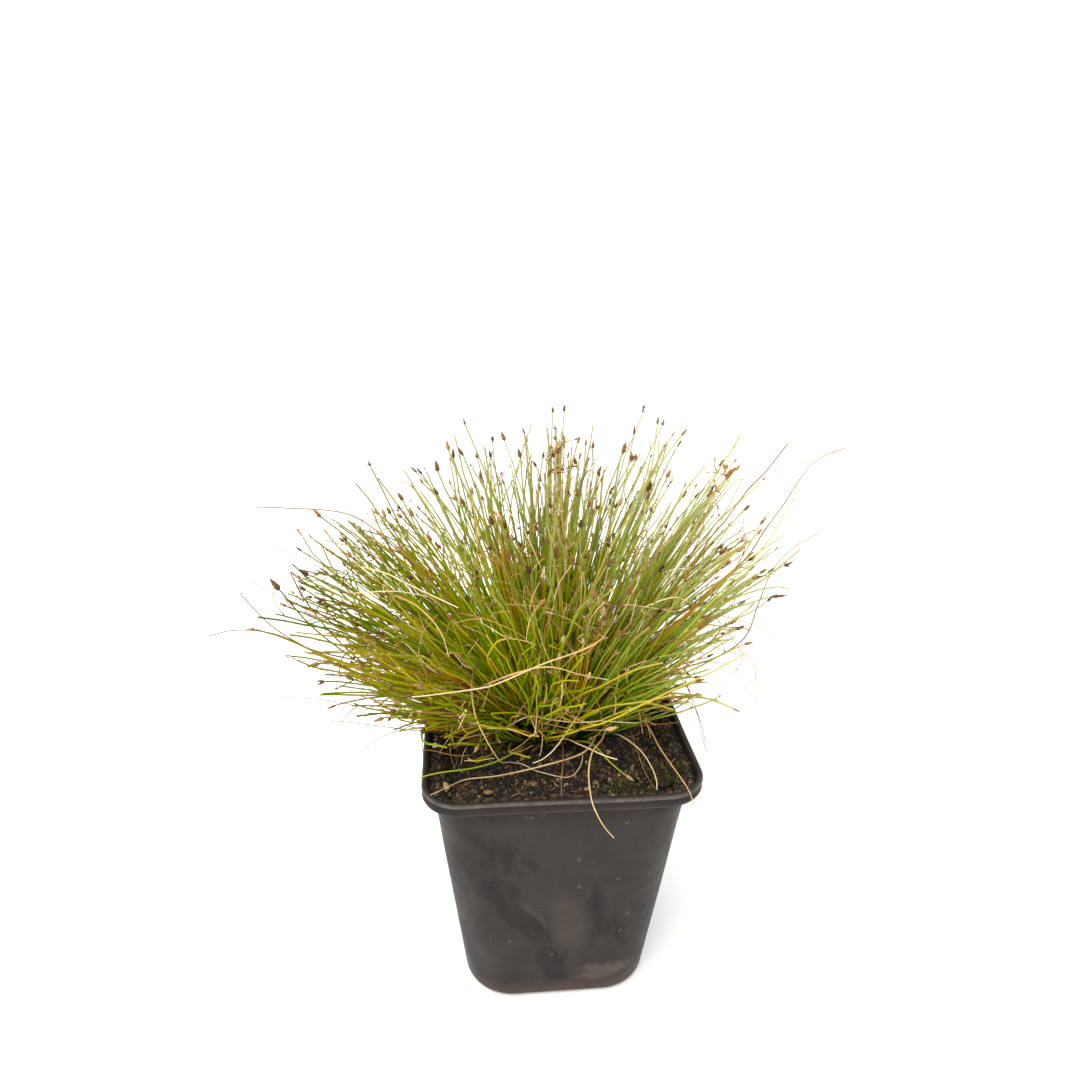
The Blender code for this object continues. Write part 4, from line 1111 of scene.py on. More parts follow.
def crumb(pick, fineness):
    """An angular crumb of peat, one unit across its radius."""
    shape = bmesh.new()
    bmesh.ops.create_icosphere(shape, subdivisions=fineness, radius=1)
    stretch = Vector((pick.uniform(0.8, 1.3), pick.uniform(0.5, 1.0), pick.uniform(0.4, 0.8)))
    for corner in shape.verts:
        corner.co *= pick.uniform(0.6, 1.15)
        corner.co = Vector(a * b for a, b in zip(corner.co, stretch))
    return shape


def twig(pick, length, radius, sides=3, steps=4, bow=0.25):
    """A thin bent splinter that lies along X, closed at both ends."""
    shape = bmesh.new()
    rings = []
    for step in range(steps + 1):
        share = step / steps
        middle = Vector((share - 0.5, bow * share * (1 - share) * 2, pick.uniform(-0.04, 0.04))) * length
        girth = radius * (1 - 0.5 * abs(share - 0.4))
        rings.append([
            middle + Vector((0, math.cos(angle), math.sin(angle))) * girth for angle in turns(sides)])
    skin_rings(shape, rings)
    return shape


class GRASS_OT_peat(bpy.types.Operator):
    """Fill the pot with peat, strewn with crumbs and fibres"""

    bl_idname = "potted_grass.peat"
    bl_label = "Peat"

    def execute(self, context):
        look = context.scene.peat_look
        pick = random.Random(21)
        # Sphagnum peat, milled: near black where wet, grey-brown to tan where dry
        peat = toned_material("Peat, milled", (
            (0.0, "#17120C"), (0.35, "#2E241A"), (0.7, "#4B3C2C"), (0.93, "#66523C"),
            (0.985, "#7E684A"), (1.0, "#9C8460")), 0.95, 1.1 * MM, 0.35 * MM, 6 * MM)
        strew = scatter_tree()
        block = peat_block(look.relief)
        mark_cover(block, open_peat)
        clods = shape_set("clods", [crumb(pick, 2) for _ in range(6)])
        settle(run_tree(
            "peat_and_clods", block, strew, density=look.clod_density, smallest=0.7 * MM,
            largest=look.clod_size, tilt=3.0, shapes=clods, keep_ground=True, seed=3,
            material=peat), "peat", "soil")
        clear_set(clods)
        crumbs = shape_set("crumbs", [crumb(pick, 1) for _ in range(6)])
        for name, density, smallest, largest, seed in (
                ("peat_crumbs", look.crumb_density, 0.3 * MM, look.crumb_size, 4),
                ("peat_grains", look.grain_density, 0.22 * MM, look.crumb_size * 0.55, 6)):
            settle(run_tree(
                name, block, strew, density=density, smallest=smallest, largest=largest, tilt=3.0,
                shapes=crumbs, keep_ground=False, seed=seed, material=peat), "peat")
        clear_set(crumbs)

        # Root and wood fibres left in the peat: dull red-brown to straw
        fibre = toned_material("Peat fibre, dried", (
            (0.0, "#4A2C1D"), (0.4, "#6E4630"), (0.75, "#94704A"), (1.0, "#C4A274")), 0.85, 2 * MM)
        fibres = shape_set("fibres", [
            twig(pick, 1, pick.uniform(0.03, 0.06), bow=pick.uniform(-0.5, 0.5)) for _ in range(5)])
        mark_cover(block, peat_for_fibres)
        settle(run_tree(
            "peat_fibres", block, strew, density=look.fibre_density, smallest=1.8 * MM,
            largest=7 * MM, tilt=0.3, shapes=fibres, keep_ground=False, seed=8,
            material=fibre), "bark")
        clear_set(fibres)
        return {"FINISHED"}


def crown_place(reach, around, lift=0.0):
    """A point of the crown's surface, from 0 at its top to 1 at its edge."""
    rise = math.sqrt(max(0.0, 1 - reach * reach))
    point = Vector((
        CROWN_HALF.x * reach * math.cos(around),
        CROWN_HALF.y * reach * math.sin(around),
        CROWN_RISE * rise))
    normal = Vector((
        point.x / CROWN_HALF.x ** 2,
        point.y / CROWN_HALF.y ** 2,
        point.z / CROWN_RISE ** 2)).normalized()
    return Vector((CROWN_CENTRE.x, CROWN_CENTRE.y, CROWN_SEAT)) + point + normal * lift


class GRASS_OT_crown(bpy.types.Operator):
    """Make the matted crown, covered in the stubs of old stems"""

    bl_idname = "potted_grass.crown"
    bl_label = "Crown"

    def execute(self, context):
        pick = random.Random(31)
        rings = []
        for ring in range(13):
            reach = math.cos(ring / 12.6 * math.pi / 2)
            points = []
            for around in turns(56):
                point = crown_place(reach, around)
                depth = 0.5 + 0.5 * noise.noise(point / (2.2 * MM))
                points.append(crown_place(reach, around, -0.8 * MM * depth if ring else 0))
            rings.append(points)
        shape = bmesh.new()
        skin_rings(shape, rings)
        mesh = smooth_mesh("crown dome", shape)
        mark_cover(mesh, lambda face: 1.0 if face.normal.z > -0.5 else 0.0)
        # Dead leaf sheaths, matted by decay: dark brown made near black as painted shade
        # between the stems, with straw-coloured ends
        mat = toned_material("Stem sheaths, matted", (
            (0.0, "#0E0A06"), (0.4, "#1C1409"), (0.65, "#332610"), (0.87, "#5E4A1C"),
            (1.0, "#8E762E")), 0.8, 1.6 * MM, 0.3 * MM)
        stubs = shape_set("stubs", [stub(pick) for _ in range(5)])
        settle(run_tree(
            "crown_and_stubs", mesh, scatter_tree(), density=4.5e5, smallest=2.2 * MM,
            largest=8 * MM, tilt=0.75, shapes=stubs, keep_ground=True, seed=5,
            material=mat), "crown_mat", "crown")
        clear_set(stubs)
        return {"FINISHED"}


def stub(pick):
    """The broken sheath of an old stem, one unit tall, standing up Z."""
    shape = bmesh.new()
    width = pick.uniform(0.09, 0.15)
    bend = Vector((pick.uniform(-0.2, 0.2), pick.uniform(-0.2, 0.2), 0))
    rings = []
    for share, girth in ((-0.1, 1.0), (0.35, 0.9), (0.75, 0.8), (1.0, 0.35)):
        middle = bend * share * share + UP * share
        rings.append([outwards(angle) * width * girth + middle for angle in turns(5)])
    skin_rings(shape, rings)
    return shape


def round_crown(numbers, around):
    """A value for an angle round the crown, from one number for each eighth of a turn."""
    turn = around / (2 * math.pi) * len(numbers)
    before = math.floor(turn)
    blend = (1 - math.cos((turn - before) * math.pi)) / 2
    near = numbers[before % len(numbers)]
    far = numbers[(before + 1) % len(numbers)]
    return near + (far - near) * blend


def largest_lean(around):
    """How far the outermost stems lean from upright, for an angle round the crown."""
    return math.radians(round_crown(OUTER_LEANS, around))


def lean_at(spread, around):
    """How far a stem leans that stands at a share of the crown's reach."""
    return math.acos(1 - (1 - math.cos(largest_lean(around))) * spread ** 2)


def stem_length(look, lean, around):
    """Stems that lie low for their side of the clump are shorter."""
    share = min(1.15, abs(lean) / largest_lean(around))
    lost = look.upright_length - round_crown(OUTER_LENGTHS, around) * MM
    return look.upright_length - lost * max(0.0, (share - 0.3) / 0.7) ** 1.5


def from_left(numbers, stem):
    """A value for where a stem points, as seen from the front, from numbers left to right."""
    away = stem_point(stem, 1) - Vector((CROWN_CENTRE.x, 0, CROWN_SEAT))
    place = (math.degrees(math.atan2(away.x, away.z)) + 90) / 10
    place = max(0.0, min(len(numbers) - 1.001, place))
    before = int(place)
    return numbers[before] + (numbers[before + 1] - numbers[before]) * (place - before)


def stem_point(stem, share):
    """Where a stem's centre line is at a share of its length, without its sway."""
    lean = stem["start_lean"] + stem["bend"] * share
    size = stem["reach"] / stem["bend"]
    out = (math.cos(stem["start_lean"]) - math.cos(lean)) * size
    rise = (math.sin(lean) - math.sin(stem["start_lean"])) * size
    heading = stem["around"] + stem["twist"] * share * share
    return stem["root"] + Vector((out * math.cos(heading), out * math.sin(heading), rise))


def is_clear(stem):
    """Whether a stem stays off the peat, out of the pot's rim and in its own space."""
    half = POT_WIDTH / 2 + 0.8 * MM
    for step in range(2, 13):
        point = stem_point(stem, step / 12)
        width = max(abs(point.x), abs(point.y))
        if width > BODY_TOP_HALF - 3 * MM and width < half and point.z < POT_HEIGHT + 1.2 * MM:
            return False
        if width <= BODY_TOP_HALF and point.z < SOIL_TOP + 1 * MM:
            return False
        if point.z > cad_box[1].z or point.z < POT_HEIGHT - 25 * MM:
            return False
        if point.x < cad_box[0].x or point.x > cad_box[1].x:
            return False
        if point.y < cad_box[0].y or point.y > cad_box[1].y - 2 * MM:
            return False
    return True


def make_stem(pick, look, root, lean, around, length_share, bow, **extra):
    """A stem's numbers, its lean eased until it clears the pot, or None where it finds no room."""
    bow_by = lean * bow
    if abs(bow_by) < LEAST_BOW:
        bow_by = math.copysign(LEAST_BOW, bow_by or 1)
    stem = {
        "root": root,
        "start_lean": lean - bow_by / 2,
        "bend": bow_by,
        "around": around,
        "twist": pick.gauss(0, 0.16),
        "reach": stem_length(look, lean, around) * length_share,
        "chance": pick.random(),
        "tone": pick.random(),
        "girth": pick.uniform(0.8, 1.12),
        "spike": 0.0,
    }
    stem.update(extra)
    stem["reach"] *= from_left(REACHES, stem)
    if pick.random() > from_left(FULLNESS, stem):
        return None
    for _ in range(14):
        if is_clear(stem):
            return stem
        stem["start_lean"] -= math.radians(3)
        stem["reach"] *= 0.985
    return None


def spike_size(pick, look, chance):
    """Length of a stem's flower spike, most of them small, or 0 where it bears none."""
    size = look.spike_length * (0.42 + 0.58 * pick.random() ** 1.5)
    return size if pick.random() < chance else 0.0


def green_stems(look):
    """Live stems, in shoots that share a root and a heading."""
    pick = random.Random(41)
    for number in range(look.shoots):
        spread = math.sqrt((number + 0.5) / look.shoots)
        around = number * GOLDEN_ANGLE + pick.gauss(0, 0.16)
        # The clump is thickest on its left
        if number % 5 == 4:
            around = pick.gauss(3.2, 0.5)
            spread = pick.uniform(0.6, 1.0)
        shoot_tone = pick.uniform(0.05, 0.95)
        # The shoots at the front right are fresh
        if math.cos(around) > 0.25 and math.sin(around) < 0.1:
            shoot_tone *= 0.55
        shoot_lean = pick.gauss(0, math.radians(9))
        shoot_turn = pick.gauss(0, 0.3)
        shoot_bow = pick.uniform(0.05, 0.8) if pick.random() < 0.7 else pick.uniform(-0.5, 0.1)
        shoot_lane = pick.random()
        # Every other shoot has come apart, the rest hold together
        loose = 1.1 if number % 2 == 0 else 0.5
        for _ in range(pick.randint(look.stems_per_shoot - 4, look.stems_per_shoot)):
            own_spread = clamp(spread + pick.gauss(0, 0.05))
            own_around = around + pick.gauss(0, 0.05 + 0.06 / max(0.15, spread)) * loose
            root = crown_place(0.94 * own_spread, own_around, -LIVE_ROOT)
            lean = lean_at(own_spread, own_around) + shoot_lean
            lean = min(lean + pick.gauss(0, math.radians(7)) * loose, 1.07 * largest_lean(own_around))
            tone = min(0.88, max(0.0, shoot_tone + pick.gauss(0, 0.17)))
            spike = spike_size(pick, look, 0.5)
            yield make_stem(
                pick, look, root, lean, own_around + shoot_turn + pick.gauss(0, 0.16) * loose,
                1.03 - 0.6 * pick.random() ** 1.1, shoot_bow + pick.gauss(0, 0.25) * loose,
                twist=pick.gauss(0, 0.3) * loose, chance=shoot_lane + pick.uniform(0, 0.0008) * loose,
                tone=tone, spike=spike)


def root_under(tip):
    """Where a stem that ends at a tip leaves the crown."""
    away = tip - Vector((CROWN_CENTRE.x, CROWN_CENTRE.y, CROWN_SEAT))
    around = math.atan2(away.y, away.x)
    share = (1 - math.cos(away.angle(UP))) / (1 - math.cos(largest_lean(around)))
    return crown_place(0.94 * math.sqrt(min(1.0, share)), around, -LIVE_ROOT)


def stem_to(tip, root, bow, **extra):
    """A stem's numbers from its tip, its root and how far it bows."""
    run = tip - root
    bow = math.copysign(max(LEAST_BOW, abs(bow)), bow)
    stem = {
        "root": root,
        "start_lean": run.angle(UP) - bow / 2,
        "bend": bow,
        "around": math.atan2(run.y, run.x),
        "twist": 0.0,
        "reach": run.length * (bow / 2) / math.sin(bow / 2),
        "spike": 0.0,
    }
    stem.update(extra)
    return stem


def placed_stems(look, kind):
    """The stems and bundles that are listed one by one, of one kind."""
    pick = random.Random(45)
    for x, y, z, spike, tone, bow in PLACED_STEMS if kind == "live" else ():
        tip = Vector((x, y, z)) * MM
        yield stem_to(
            tip, root_under(tip), bow, tone=tone, spike=spike * MM, chance=pick.random(),
            girth=pick.uniform(0.9, 1.1))
    for x, y, z, count, tone, bow, own_kind in PLACED_BUNDLES:
        tip = Vector((x, y, z)) * MM
        root = root_under(tip)
        lane = pick.random()
        for _ in range(count if own_kind == kind else 0):
            aside = Vector((pick.gauss(0, 1), pick.gauss(0, 1), pick.gauss(0, 1))) * MM
            near = root + (tip - root) * (1.03 - 0.45 * pick.random() ** 1.5) + aside * 2.2
            yield stem_to(
                near, root + aside, bow + pick.gauss(0, 0.18), spike=spike_size(pick, look, 0.35),
                tone=clamp(tone + pick.gauss(0, 0.15)), girth=pick.uniform(0.85, 1.1),
                chance=lane + pick.uniform(0, 0.0004))


def young_stems(look):
    """Short green shoots deep in the clump."""
    pick = random.Random(43)
    for _ in range(look.young_stems):
        spread = pick.random() ** 0.5
        around = pick.uniform(0, 2 * math.pi)
        # Few grow at the front, where the crown shows dark between the stems
        if spread > 0.6 and math.sin(around) < 0.1 and pick.random() < 0.75:
            continue
        root = crown_place(0.96 * spread, around, -LIVE_ROOT)
        lean = lean_at(spread, around) + pick.gauss(0, math.radians(10))
        lean = min(lean, 1.05 * largest_lean(around))
        yield make_stem(
            pick, look, root, lean, around + pick.gauss(0, 0.2), pick.uniform(0.22, 0.62),
            pick.uniform(-0.2, 0.7), tone=pick.uniform(0.2, 1.0), girth=pick.uniform(0.7, 1.0))


def yellow_stems(look):
    """Stems that are dying back: most lean low, and many to the left."""
    pick = random.Random(47)
    for number in range(look.yellow_stems):
        low_left = number % 7 == 0
        spread = pick.uniform(0.8, 1.0) if low_left else pick.random() ** 0.4
        around = pick.gauss(math.pi * 1.1, 0.32) if low_left else pick.uniform(0, 2 * math.pi)
        if spread > 0.6 and math.sin(around) < -0.6 and pick.random() < 0.5:
            continue
        root = crown_place(0.97 * spread, around, -DEAD_ROOT)
        lean = lean_at(spread, around) + pick.gauss(0, math.radians(7))
        lean = min(lean, 1.07 * largest_lean(around))
        # The upright ones are mostly short, so little yellow shows along the top
        longest = 0.65 if low_left or lean < 0.6 and pick.random() < 0.7 else 0.95
        share = pick.uniform(0.3, longest)
        spike = spike_size(pick, look, 0.35)
        yield make_stem(
            pick, look, root, lean, around + pick.gauss(0, 0.15), share,
            pick.uniform(-0.1, 0.7), twist=pick.gauss(0, 0.25), spike=spike)


def dry_stems(look):
    """Dead stems, thin and unruly, that droop across the others."""
    pick = random.Random(53)
    for _ in range(look.dry_stems):
        spread = pick.random() ** 0.45
        around = pick.uniform(0, 2 * math.pi)
        root = crown_place(0.95 * spread, around, -DEAD_ROOT)
        heading = around + pick.gauss(0, 0.45)
        lean = lean_at(spread, around) + pick.gauss(0, math.radians(10))
        spike = spike_size(pick, look, 0.45)
        yield make_stem(
            pick, look, root, lean, heading, pick.uniform(0.45, 1.03), pick.uniform(0.1, 1.1),
            twist=pick.gauss(0, 0.5), girth=pick.uniform(0.5, 0.85), spike=spike)


def is_free(point):
    """Whether a point, in metres, is clear of the peat, the rim and the model's sides."""
    width = max(abs(point.x), abs(point.y))
    if width < POT_WIDTH / 2 + 1 * MM and point.z < POT_HEIGHT + 1.5 * MM:
        return False
    inside = all(low < place < high for low, place, high in zip(cad_box[0], point, cad_box[1]))
    return inside and point.z > POT_HEIGHT - 12 * MM


def grown_lines(name):
    """The middles of the rings of skin on each stem of a grown piece, foot to tip."""
    corners = [corner.co for corner in bpy.data.objects[name].data.vertices]
    middles = [
        sum(corners[first:first + SIDES], Vector()) / SIDES for first in range(0, len(corners), SIDES)]
    joints = JOINTS[name]
    return [middles[first:first + joints] for first in range(0, len(middles), joints)]


def line_point(line, share):
    """Where a line of points is at a share of its length."""
    place = clamp(share) * (len(line) - 1)
    before = min(int(place), len(line) - 2)
    return line[before].lerp(line[before + 1], place - before)


def any_way(pick, least_up=0.0):
    """A random direction."""
    return Vector((pick.gauss(0, 1), pick.gauss(0, 1), pick.gauss(least_up, 1))).normalized()


def kinked_chains(look, lines):
    """Dry stems that snapped part way up: each folds over at a sharp kink."""
    pick = random.Random(55)
    for _ in range(look.kinked_stems):
        line = pick.choice(lines)
        snap = pick.uniform(0.35, 0.9)
        route = [line_point(line, snap * step / 5) for step in range(6)]
        ahead = (route[-1] - route[-2]).normalized()
        aside = ahead.cross(any_way(pick)).normalized()
        fold = math.radians(pick.uniform(45, 140))
        heading = ahead * math.cos(fold) + aside * math.sin(fold)
        last = route[-1]
        route.insert(-1, last - ahead * 0.8 * MM)
        route.append(last + heading * 0.9 * MM)
        step = pick.uniform(2.5, 8) * MM
        for _ in range(3):
            heading = (heading + Vector((pick.gauss(0, 0.15), pick.gauss(0, 0.15), -0.12))).normalized()
            route.append(route[-1] + heading * step)
        if all(is_free(point) for point in route[3:]):
            yield route, pick.uniform(0, 0.85), pick.uniform(0.32, 0.55), spike_size(pick, look, 0.5)


def caught_chains(look, lines):
    """Broken stems caught in the clump: each rests on a few stems that stand close."""
    pick = random.Random(57)
    for _ in range(look.caught_stems):
        share = pick.uniform(0.35, 0.92)
        route = [line_point(pick.choice(lines), share)]
        if route[0].y > 12 * MM:
            continue
        for _ in range(pick.randint(2, 4)):
            near = []
            for line in lines:
                other = line_point(line, share + pick.uniform(-0.12, 0.12))
                if 5 * MM < (other - route[-1]).length < 15 * MM:
                    near.append(other)
            if not near:
                break
            pull = route[-1] - route[-2] if len(route) > 1 else any_way(pick)
            near.sort(key=lambda other: -(other - route[-1]).normalized().dot(pull.normalized()))
            rests = pick.choice(near[:max(1, len(near) // 4)])
            middle = (route[-1] + rests) / 2
            away = (middle - CROWN_CENTRE).normalized() * pick.uniform(0.2, 2.2) * MM
            route += [middle + away, rests + away * 0.4]
        if len(route) > 3 and all(is_free(point) for point in route):
            yield route, pick.uniform(0, 0.75), pick.uniform(0.28, 0.5), spike_size(pick, look, 0.4)


def frayed_chains(look, lines):
    """Short hairs: split sheaths and bracts that curl off near the tips."""
    pick = random.Random(59)
    for _ in range(look.frayed_hairs):
        line = pick.choice(lines)
        share = pick.uniform(0.7, 1.0)
        route = [line_point(line, share)]
        heading = (route[0] - line_point(line, share - 0.05)).normalized()
        curl = any_way(pick)
        step = pick.uniform(0.8, 1.8 + 2.6 * pick.random()) * MM
        for _ in range(4):
            heading = (heading + curl * pick.uniform(0.2, 0.75)).normalized()
            route.append(route[-1] + heading * step)
        if all(is_free(point) for point in route):
            yield route, pick.uniform(0.25, 1.0), pick.uniform(0.22, 0.4), 0.0


def tangled_chains(look, lines):
    """Bits of dead stems and loose heads, caught on the stems that pass through a tangle."""
    pick = random.Random(63)
    for x, y, z, spread, count, tone in TANGLES:
        middle = Vector((x, y, z)) * MM
        holds = [point for line in lines for point in line[4:] if (point - middle).length < spread * MM]
        for _ in range(count if holds else 0):
            route = [pick.choice(holds) + any_way(pick) * pick.uniform(0.3, 1.4) * MM]
            heading = any_way(pick, 0.5)
            for _ in range(4):
                heading = (heading + any_way(pick) * 0.4).normalized()
                route.append(route[-1] + heading * pick.uniform(0.5, 1.3) * MM)
            own_tone = clamp(tone + pick.gauss(0, 0.22))
            chain = (route, own_tone, pick.uniform(0.26, 0.5), 0.7 * spike_size(pick, look, 0.55))
            if all(is_free(point) for point in route):
                yield chain


def root_points(name, stems):
    """A mesh of root points that carry their stems' numbers."""
    mesh = bpy.data.meshes.new(name)
    mesh.from_pydata([stem["root"] for stem in stems], [], [])
    root = mesh.attributes.new("root", "FLOAT_VECTOR", "POINT")
    root.data.foreach_set("vector", [value for stem in stems for value in stem["root"]])
    for label in ("start_lean", "bend", "around", "twist", "reach", "chance", "tone", "girth", "spike"):
        attribute = mesh.attributes.new(label, "FLOAT", "POINT")
        attribute.data.foreach_set("value", [stem[label] for stem in stems])
    return mesh


def in_metres(route):
    """A route in millimetres as points in metres."""
    return [Vector(point) * MM for point in route]


def chain_mesh(name, chains):
    """A mesh of chains of points: each is (points, tone, girth, spike)."""
    points = []
    edges = []
    rows = []
    for chain, *values in chains:
        edges += [(index, index + 1) for index in range(len(points), len(points) + len(chain) - 1)]
        points += chain
        rows += [values] * len(chain)
    mesh = bpy.data.meshes.new(name)
    mesh.from_pydata(points, edges, [])
    for label, numbers in zip(("tone", "girth", "spike"), zip(*rows)):
        mesh.attributes.new(label, "FLOAT", "POINT").data.foreach_set("value", numbers)
    return mesh


def spindle(pick, sides, bands, width, scale_depth):
    """A closed flower spike, one unit long up Z, with overlapping scales."""
    shape = bmesh.new()
    rings = []
    for band in range(bands + 1):
        share = band / bands
        belly = 2.03 * share ** 0.35 * (1 - share) ** 0.8
        girth = max(0.06, belly) * width
        ring = []
        for side in range(sides):
            angle = (side + band * 0.5) / sides * 2 * math.pi
            out = girth * (1 + scale_depth * (-1) ** band * pick.uniform(0.6, 1.2))
            ring.append(Vector((out * math.cos(angle), out * math.sin(angle), share)))
        rings.append(ring)
    skin_rings(shape, rings)
    return shape


def add_bract(shape, length, width, lean, around, foot):
    """A pointed scale that stands off a spike, a closed sliver of four faces."""
    out = outwards(around)
    across = Vector((-out.y, out.x, 0))
    base = UP * foot
    tip = base + (out * math.sin(lean) + UP * math.cos(lean)) * length
    corners = [
        shape.verts.new(base + across * width),
        shape.verts.new(base - across * width),
        shape.verts.new(base + (out * 0.8 + UP * 0.5) * width * 2),
        shape.verts.new(tip),
    ]
    faces = ((0, 1, 3), (1, 2, 3), (2, 0, 3), (0, 2, 1))
    made = [shape.faces.new([corners[index] for index in face]) for face in faces]
    bmesh.ops.recalc_face_normals(shape, faces=made)


def spike_shapes():
    """The flower spikes: plump, slim, shaggy and splayed, each a few dozen faces."""
    pick = random.Random(61)
    shapes = [spindle(pick, 6, 7, width, 0.13) for width in (0.145, 0.17, 0.19, 0.21)]
    shapes.append(spindle(pick, 5, 6, 0.11, 0.1))
    shaggy = spindle(pick, 6, 5, 0.165, 0.2)
    for index in range(4):
        add_bract(shaggy, 0.5, 0.06, 0.4, index * 1.7, 0.3 + 0.12 * index)
    shapes.append(shaggy)
    splayed = spindle(pick, 5, 4, 0.09, 0.15)
    for index in range(6):
        add_bract(splayed, 0.75, 0.07, 0.55 + 0.1 * (index % 2), index * 1.05, 0.15)
    shapes.append(splayed)
    frayed = spindle(pick, 5, 3, 0.09, 0.2)
    for index in range(6):
        add_bract(
            frayed, pick.uniform(0.7, 1.5), 0.035, pick.uniform(0.15, 1.0), index * 1.1,
            pick.uniform(0.1, 0.6))
    shapes.append(frayed)
    pair = spindle(pick, 5, 4, 0.14, 0.12)
    bmesh.ops.rotate(pair, verts=pair.verts[:], matrix=Matrix.Rotation(0.2, 3, "Y"))
    fellow = spindle(pick, 5, 4, 0.12, 0.12)
    bmesh.ops.rotate(fellow, verts=fellow.verts[:], matrix=Matrix.Rotation(-0.26, 3, "Y"))
    twin = bpy.data.meshes.new("twin")
    fellow.to_mesh(twin)
    fellow.free()
    pair.from_mesh(twin)
    bpy.data.meshes.remove(twin)
    shapes.append(pair)
    return shapes


class GRASS_OT_stems(bpy.types.Operator):
    """Grow the green, yellow and dry stems, with a flower spike on most"""

    bl_idname = "potted_grass.stems"
    bl_label = "Stems and flower spikes"

    def execute(self, context):
        look = context.scene.grass_look
        tufts = sorted(name for name in frame["nodes"] if name.startswith("tuft_"))
        # Live sedge stem, grown: a waxy skin that is fresh green at the foot, olive at the tip
        live = stem_material("Sedge stem, live and waxy", (
            (0.0, "#669200"), (0.35, "#8EAA00"), (0.7, "#A6AC00"), (1.0, "#B69C0A")), (
            (0.0, "#5A6C08"), (0.4, "#7E860C"), (0.75, "#9C9616"), (1.0, "#B08E22")), 0.5, 0.56, 0.5)
        # Young sedge stem, grown: paler and brighter than the old ones
        young = stem_material("Sedge stem, young", (
            (0.0, "#6CA400"), (0.5, "#94B800"), (1.0, "#BCC200")), (
            (0.0, "#629400"), (0.5, "#8AA800"), (1.0, "#B2B008")), 0.5, 0.4, 0.5)
        # Sedge stem, dying back: yellow to orange where the green has gone
        yellow = stem_material("Sedge stem, yellowed", (
            (0.0, "#A8A400"), (0.4, "#CCA200"), (0.75, "#D48E04"), (1.0, "#C47806")), (
            (0.0, "#9E9020"), (0.4, "#BE9624"), (0.75, "#B68022"), (1.0, "#9C6A24")), 0.55, 0.0, 0.4)
        # Sedge stem, dead and dried: matt straw, from cream to brown
        dry = dried_stem()
        husk = papery_spike()

        lines = bowed_lines()
        skin = stem_tree("stem skins", lines)
        heads = spike_tree("flower spikes", lines)
        shapes = shape_set("spikes", spike_shapes())
        yellowed = (*yellow_stems(look), *placed_stems(look, "yellow"))
        groups = (
            ("live_stems", green_stems(look), live, "green_stem", tufts[0::3], 10),
            ("placed_stems", placed_stems(look, "live"), live, "green_stem", (), 5),
            ("young_stems", young_stems(look), young, "bright_stem", tufts[1::3], 6),
            ("yellow_stems", yellowed, yellow, "yellow_stem", tufts[2::3], 7),
            ("dry_stems", dry_stems(look), dry, "dry_stem", (), 16),
        )
        for number, (name, stems, material, slot, nodes, sway) in enumerate(groups):
            stems = [stem for stem in stems if stem]
            points = root_points(name + " roots", stems)
            course = {"joints": JOINTS[name], "sway": sway * MM, "sway_size": 30 * MM}
            settle(run_tree(
                name, points, skin, radius=look.stem_radius, tip_share=0.63, sides=SIDES,
                material=material, **course), slot, *nodes)
            if any(stem["spike"] for stem in stems):
                settle(run_tree(
                    name.replace("stems", "spikes"), points, heads, spikes=shapes,
                    seed=70 + number, material=husk, **course), "dry_stem")
        clear_set(shapes)
        return {"FINISHED"}


class GRASS_OT_strands(bpy.types.Operator):
    """Lay the dead strands that stray out of the clump, fold over or lie across it"""

    bl_idname = "potted_grass.strands"
    bl_label = "Strands"

    def execute(self, context):
        look = context.scene.grass_look
        dry = dried_stem()
        husk = papery_spike()
        laid = laid_lines()
        skin = stem_tree("laid skins", laid)
        heads = spike_tree("laid spikes", laid)
        shapes = shape_set("strand spikes", spike_shapes())
        for (name, route), tone in zip(STRAY_ROUTES.items(), STRAY_TONES):
            chain = chain_mesh(name + " route", [(in_metres(route), tone, 1.0, 0.0)])
            settle(run_tree(
                name + "_strand", chain, skin, joints=60, radius=0.4 * MM, tip_share=0.35,
                sides=7, material=dry), "dry_stem", name)

        lines = [
            line for name in ("placed_stems", "dry_stems", "live_stems") for line in grown_lines(name)]
        # Sedge stem, grown: fresh green, bent down on the peat
        fresh = stem_material("Sedge stem, lying", (
            (0.0, "#84A81C"), (1.0, "#A5B82A")), ((0.0, "#7FA020"), (1.0, "#B4B634")), 0.42)
        laid_dry = [
            (in_metres(route), tone, girth, spike * MM) for tone, girth, spike, route in DRY_STRANDS]
        green = [(in_metres(route), 0.9, 0.8, spike * MM) for spike, route in GREEN_STRANDS]
        groups = (
            ("laid_strands", laid_dry, dry, "dry_stem", 44),
            ("kinked_strands", kinked_chains(look, lines), dry, "dry_stem", 26),
            ("caught_strands", caught_chains(look, lines), dry, "dry_stem", 24),
            ("tangled_bits", tangled_chains(look, lines), dry, "dry_stem", 10),
            ("frayed_hairs", frayed_chains(look, lines), dry, "dry_stem", 8),
            ("lying_green_stems", green, fresh, "bright_stem", 42),
        )
        for number, (name, chains, material, slot, joints) in enumerate(groups):
            chains = list(chains)
            mesh = chain_mesh(name + " routes", chains)
            settle(run_tree(
                name, mesh, skin, joints=joints, radius=1.15 * look.stem_radius, tip_share=0.5,
                sides=SIDES, material=material), slot)
            if any(chain[-1] for chain in chains):
                settle(run_tree(
                    name + "_spikes", mesh, heads, joints=joints, spikes=shapes,
                    seed=90 + number, material=husk), "dry_stem")
        clear_set(shapes)
        return {"FINISHED"}


